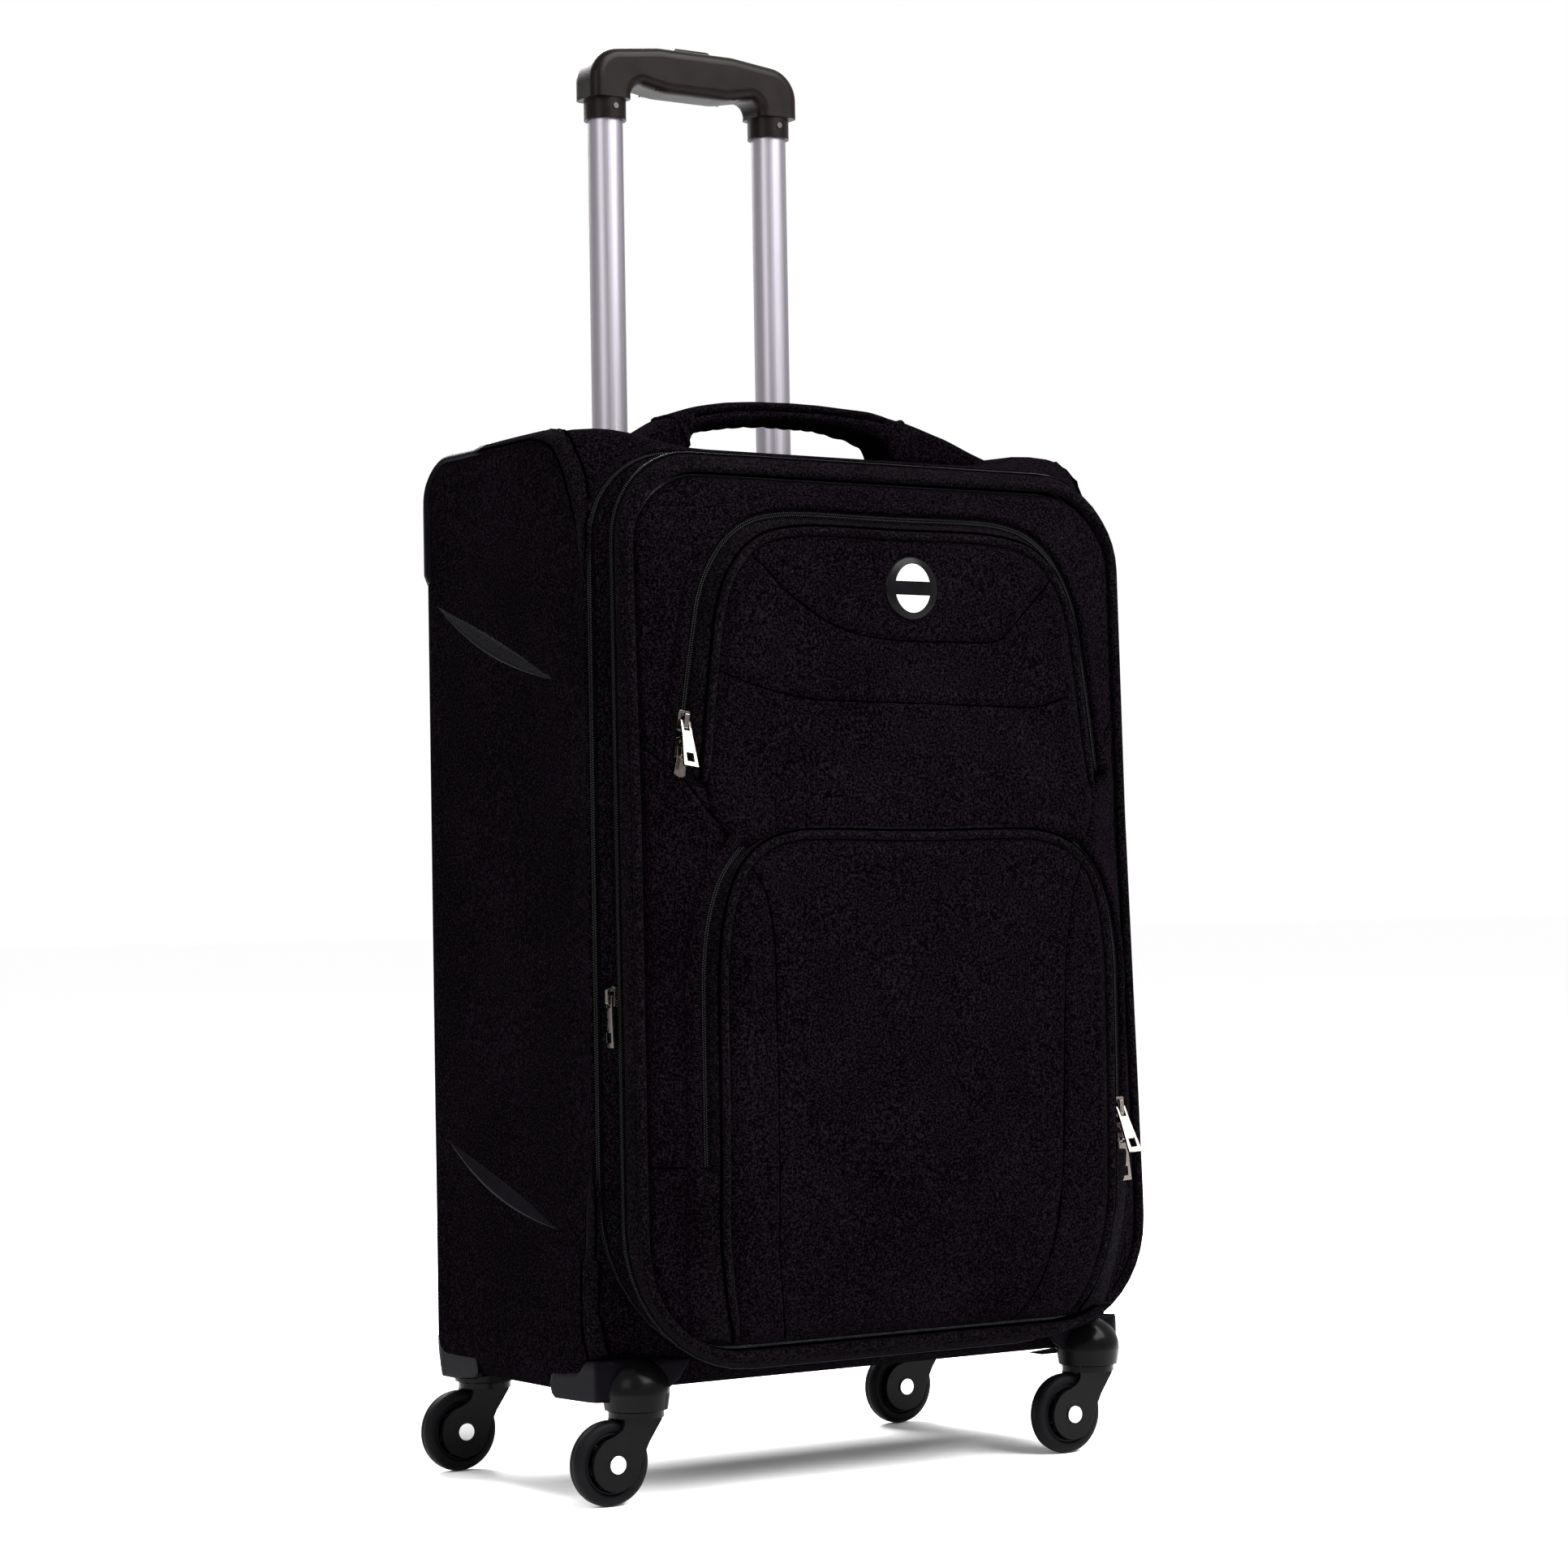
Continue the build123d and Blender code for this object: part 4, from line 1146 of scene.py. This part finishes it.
def wheels():
    """A rounded tyre with mould lines on a spoked hub."""
    for end in ("front", "rear"):
        for side in ("left", "right"):
            corner = f"{end}_{side}"
            low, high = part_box(f"caster_wheel_{corner}")
            centre = mm((low + high) / 2)
            half = (high.y - low.y) / MM / 2
            tread = [(18.6, -half + 0.8), (19.2, -half + 0.2), (20.4, -half), (22.4, -half),
                     (24.2, -half + 0.7), (25.3, -half + 2.1), (25.85, -half + 4.2), (25.95, -0.35),
                     (25.7, -0.2), (25.7, 0.2), (25.95, 0.35), (25.85, half - 4.2),
                     (25.3, half - 2.1), (24.2, half - 0.7), (22.4, half), (20.4, half),
                     (19.2, half - 0.2), (18.6, half - 0.8)]
            name = f"wheel_{corner}"
            piece(f"tyre_{corner}", lathe(tread, centre), TYRE, name,
                  (f"caster_wheel_{corner}",))
            rim = lathe([(16.6, -half + 1.2), (18.8, -half + 0.9), (18.8, half - 0.9),
                         (16.6, half - 1.2)], centre)
            hub = lathe([(3.1, -half + 0.4), (6.6, -half + 0.4), (7.4, -half + 1.2),
                         (7.4, half - 1.2), (6.6, half - 0.4), (3.1, half - 0.4)], centre)
            spokes = []
            for k in range(6):
                a = radians(60 * k + 15)
                arm = [(centre[0] + r * cos(a), centre[1], centre[2] + r * sin(a))
                       for r in (6.8, 9, 12, 15, 17.2)]
                outs = [(0, -1, 0)] * len(arm)
                spokes.append(sweep(arm, outs, [(-1.4, -half + 1.8), (1.4, -half + 1.8),
                                                (1.4, half - 1.8), (-1.4, half - 1.8)], closed=False))
            piece(f"hub_{corner}", merged(rim, hub, *spokes), GLOSS, name)


def lining():
    """Five cloths stretched against the panels, slightly rippled, and bound along their seams."""
    low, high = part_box("lining")
    (x0, y0, z0), (x1, y1, z1) = mm(low), mm(high)
    cloths = {
        "floor": ((x0, y0, z0), (1, 0, 0), (0, 1, 0), (0, 0, 1)),
        "roof": ((x0, y0, z1), (1, 0, 0), (0, 1, 0), (0, 0, -1)),
        "rear": ((x0, y1, z0), (1, 0, 0), (0, 0, 1), (0, -1, 0)),
        "left": ((x0, y0, z0), (0, 1, 0), (0, 0, 1), (1, 0, 0)),
        "right": ((x1, y0, z0), (0, 1, 0), (0, 0, 1), (-1, 0, 0)),
    }
    size = Vector((x1 - x0, y1 - y0, z1 - z0))
    for name, (corner, along, up, inward) in cloths.items():
        along, up, inward = Vector(along), Vector(up), Vector(inward)
        wide, tall = along.dot(size), up.dot(size)
        rows = []
        for j in range(61):
            v = j / 60
            row = []
            for i in range(41):
                u = i / 40
                slack = sin(pi * u) * sin(pi * v)
                spot = Vector(corner) + along * wide * u + up * tall * v
                ripple = 0.9 * soft_noise(wide * u, tall * v, 0, 46, len(name) * 3.1)
                ripple += 0.5 * soft_noise(wide * u, tall * v, 0, 15, len(name) * 5.3)
                row.append(tuple(spot + inward * (1.2 + (1.1 + ripple) * slack)))
            rows.append(row)
        cloth = piece(f"lining_{name}", loft(rows, closed=False), LINING, "case",
                      ("lining",), thick=0.6)
    seams = []
    seam_xs, seam_zs = (x0 + 2.2, x1 - 2.2), (z0 + 2.2, z1 - 2.2)
    for x in seam_xs:
        for z in seam_zs:
            path = [(x, y0 + (y1 - y0 - 2) * k / 12, z) for k in range(13)]
            seams.append(cord(path, 1.5, 8, (0, 0, 1)))
        path = [(x, y1 - 2.2, z0 + (z1 - z0) * k / 30) for k in range(31)]
        seams.append(cord(path, 1.5, 8))
    for z in seam_zs:
        path = [(x0 + (x1 - x0) * k / 30, y1 - 2.2, z) for k in range(31)]
        seams.append(cord(path, 1.5, 8))
    piece("lining_bindings", merged(*seams), BINDING, "case")


def lid_lining():
    """The cloth behind the lid's front, and the stiffened band inside its edge."""
    outline = resample(ring(182.0, 92.0, 628.0, 62, 50) + [(-120.0, 92.0)], 200)[:-1]
    rows = []
    for k in range(31):
        share = 1 - k / 31
        row = []
        for p in outline:
            x, z = p.x * share, FACE_MIDDLE + (p.y - FACE_MIDDLE) * share
            sag = smoothstep((1 - share) / 0.12)
            ripple = 0.8 * soft_noise(x, 0, z, 50, 6.6) + 0.4 * soft_noise(x, 0, z, 16, 9.1)
            row.append((x, lean(z) + 7.5 + ripple * sag, z))
        rows.append(row)
    cloth = piece("lid_lining", loft(rows, cap_last=True), LINING, "lid_front", thick=0.6)
    inner = [band_ring(*spec) for spec in ((187.4, -98.4, 104), (186.6, -99.2, 103), (186.6, -106.6, 90))]
    piece("lid_inner_band", loft(inner), BINDING, "lid_frame", thick=1.0)
    front = [band_ring(*spec) for spec in ((187.6, -113.6, 89), (184.4, -114.4, 80), (180.6, -117.0, 66))]
    piece("lid_front_band", loft(front), BINDING, "lid_front", thick=0.8)


def band_ring(half, y, r_low):
    """The lid's outline drawn in to a given half width, at y."""
    shrink = LID_HALF - half
    outline = ring(half, LID_LOW + shrink, LID_HIGH - shrink, r_low, 56 - shrink)
    return [(x, y, z) for x, z in outline]


def folded_gusset():
    """The cloth band that unfolds between the lid's two rings when the expansion zipper is open."""
    folds = ((188.9, -110.7), (187.2, -111.0), (182.5, -111.7), (180.5, -112.05), (182.5, -112.4),
             (187.2, -113.1), (188.9, -113.4))
    rows = [band_ring(half, y, half - 100) for half, y in folds]
    band = piece("folded_gusset", loft(rows), FABRIC, None, replaces=("expansion_gusset",))
    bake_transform(band)


def hinge_cloth():
    """The strip of fabric on the right that the lid turns on."""
    rows = []
    for x, y in ((184.0, -90.5), (186.2, -92.5), (187.0, -95.5), (187.0, -98.0), (186.4, -100.8),
                 (184.6, -103.0)):
        rows.append([(x, y, 150 + 430 * k / 60) for k in range(61)])
    strip = piece("hinge_cloth", loft(rows, closed=False), BINDING, None)
    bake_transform(strip)


SHELL_OBJ = case_shell()
cut_cup_hole(SHELL_OBJ)
SHELL = skin_of(SHELL_OBJ)
side_bindings()
lid()
edge_zippers()
carry_handle()
grip_ribs()
guard_strips()
back_piping()
corner_guards()
opening_rim()
side_fins()
wheels()
lining()
lid_lining()
folded_gusset()
hinge_cloth()


# ------------------------------------------------------------------ finishes of the CAD pieces
def finish(prefixes, material):
    for name, node in CAD.items():
        if name.startswith(prefixes):
            node.data.materials.clear()
            node.data.materials.append(material)


finish(("outer_tubes", "lower_stage", "upper_stage"), TUBE)
finish(("grip",), GRIP)
finish(("grip_screws",), SCREW)
finish(("slider_", "pull_"), NICKEL)
finish(("corner_guard", "top_corner", "side_fins", "trolley_", "lock_linkage"), SATIN)
finish(("caster_housings", "caster_fork"), GLOSS)
finish(("caster_wheel",), TYRE)
finish(("caster_axle",), AXLE)
finish(("opening_frame", "base_tray"), BOARD)
finish(("lining",), LINING)
finish(("carry_handle", "upper_pocket", "lower_pocket", "expansion_gusset"), FABRIC)
finish(("main_zipper", "expansion_zipper", "pocket_zippers"), TAPE)
finish(("badge",), GLOSS)


# ------------------------------------------------------------------ stage
def soft_light(name, place, aim_height, size, power):
    data = bpy.data.lights.new(name, "AREA")
    data.shape = "RECTANGLE"
    data.size, data.size_y = size
    data.energy = power
    lamp = in_scene(name, data)
    turn = (at(0, 0, aim_height) - at(*place)).to_track_quat("-Z", "Y")
    lamp.matrix_world = Matrix.Translation(at(*place)) @ turn.to_matrix().to_4x4()


def stage():
    plane = bpy.data.meshes.new("floor")
    reach = 60.0
    plane.from_pydata([(-reach, -reach, 0), (reach, -reach, 0), (reach, reach, 0), (-reach, reach, 0)],
                      [], [(0, 1, 2, 3)])
    floor = in_scene("floor", plane)
    material, _, shader = new_material("pale_floor")
    sockets(shader, {"Base Color": (0.985, 0.985, 0.985, 1), "Roughness": 0.9})
    plane.materials.append(material)
    world = bpy.data.worlds.new("studio")
    world.use_nodes = True
    sockets(world.node_tree.nodes["Background"], {"Color": (1, 1, 1, 1), "Strength": 1.0})
    bpy.context.scene.world = world
    bpy.context.scene.view_settings.view_transform = "Standard"
    soft_light("key", (700, -1700, 2500), 400, (2.2, 2.2), 300)
    soft_light("fill", (-2200, -900, 1500), 350, (1.2, 1.2), 25)
    soft_light("rear", (300, 2300, 2200), 400, (1.8, 1.2), 200)


CAMERA_TURN = (33.508, 1.979, -0.981)       # yaw, pitch and roll in degrees
CAMERA_PLACE = (-1358.8, -2059.0, 356.5)


def camera():
    yaw, pitch, roll = (radians(v) for v in CAMERA_TURN)
    forward = Vector((sin(yaw) * cos(pitch), cos(yaw) * cos(pitch), sin(pitch)))
    right = forward.cross(Vector((0, 0, 1))).normalized()
    up = right.cross(forward)
    level_right = right * cos(roll) + up * sin(roll)
    level_up = up * cos(roll) - right * sin(roll)
    data = bpy.data.cameras.new("camera")
    data.lens, data.sensor_width = 86.05, 36.0
    data.clip_end = 200.0
    view = in_scene("camera", data)
    turn = Matrix((level_right, level_up, -forward)).transposed().to_4x4()
    view.matrix_world = Matrix.Translation(at(*CAMERA_PLACE)) @ turn
    bpy.context.scene.camera = view


stage()
camera()
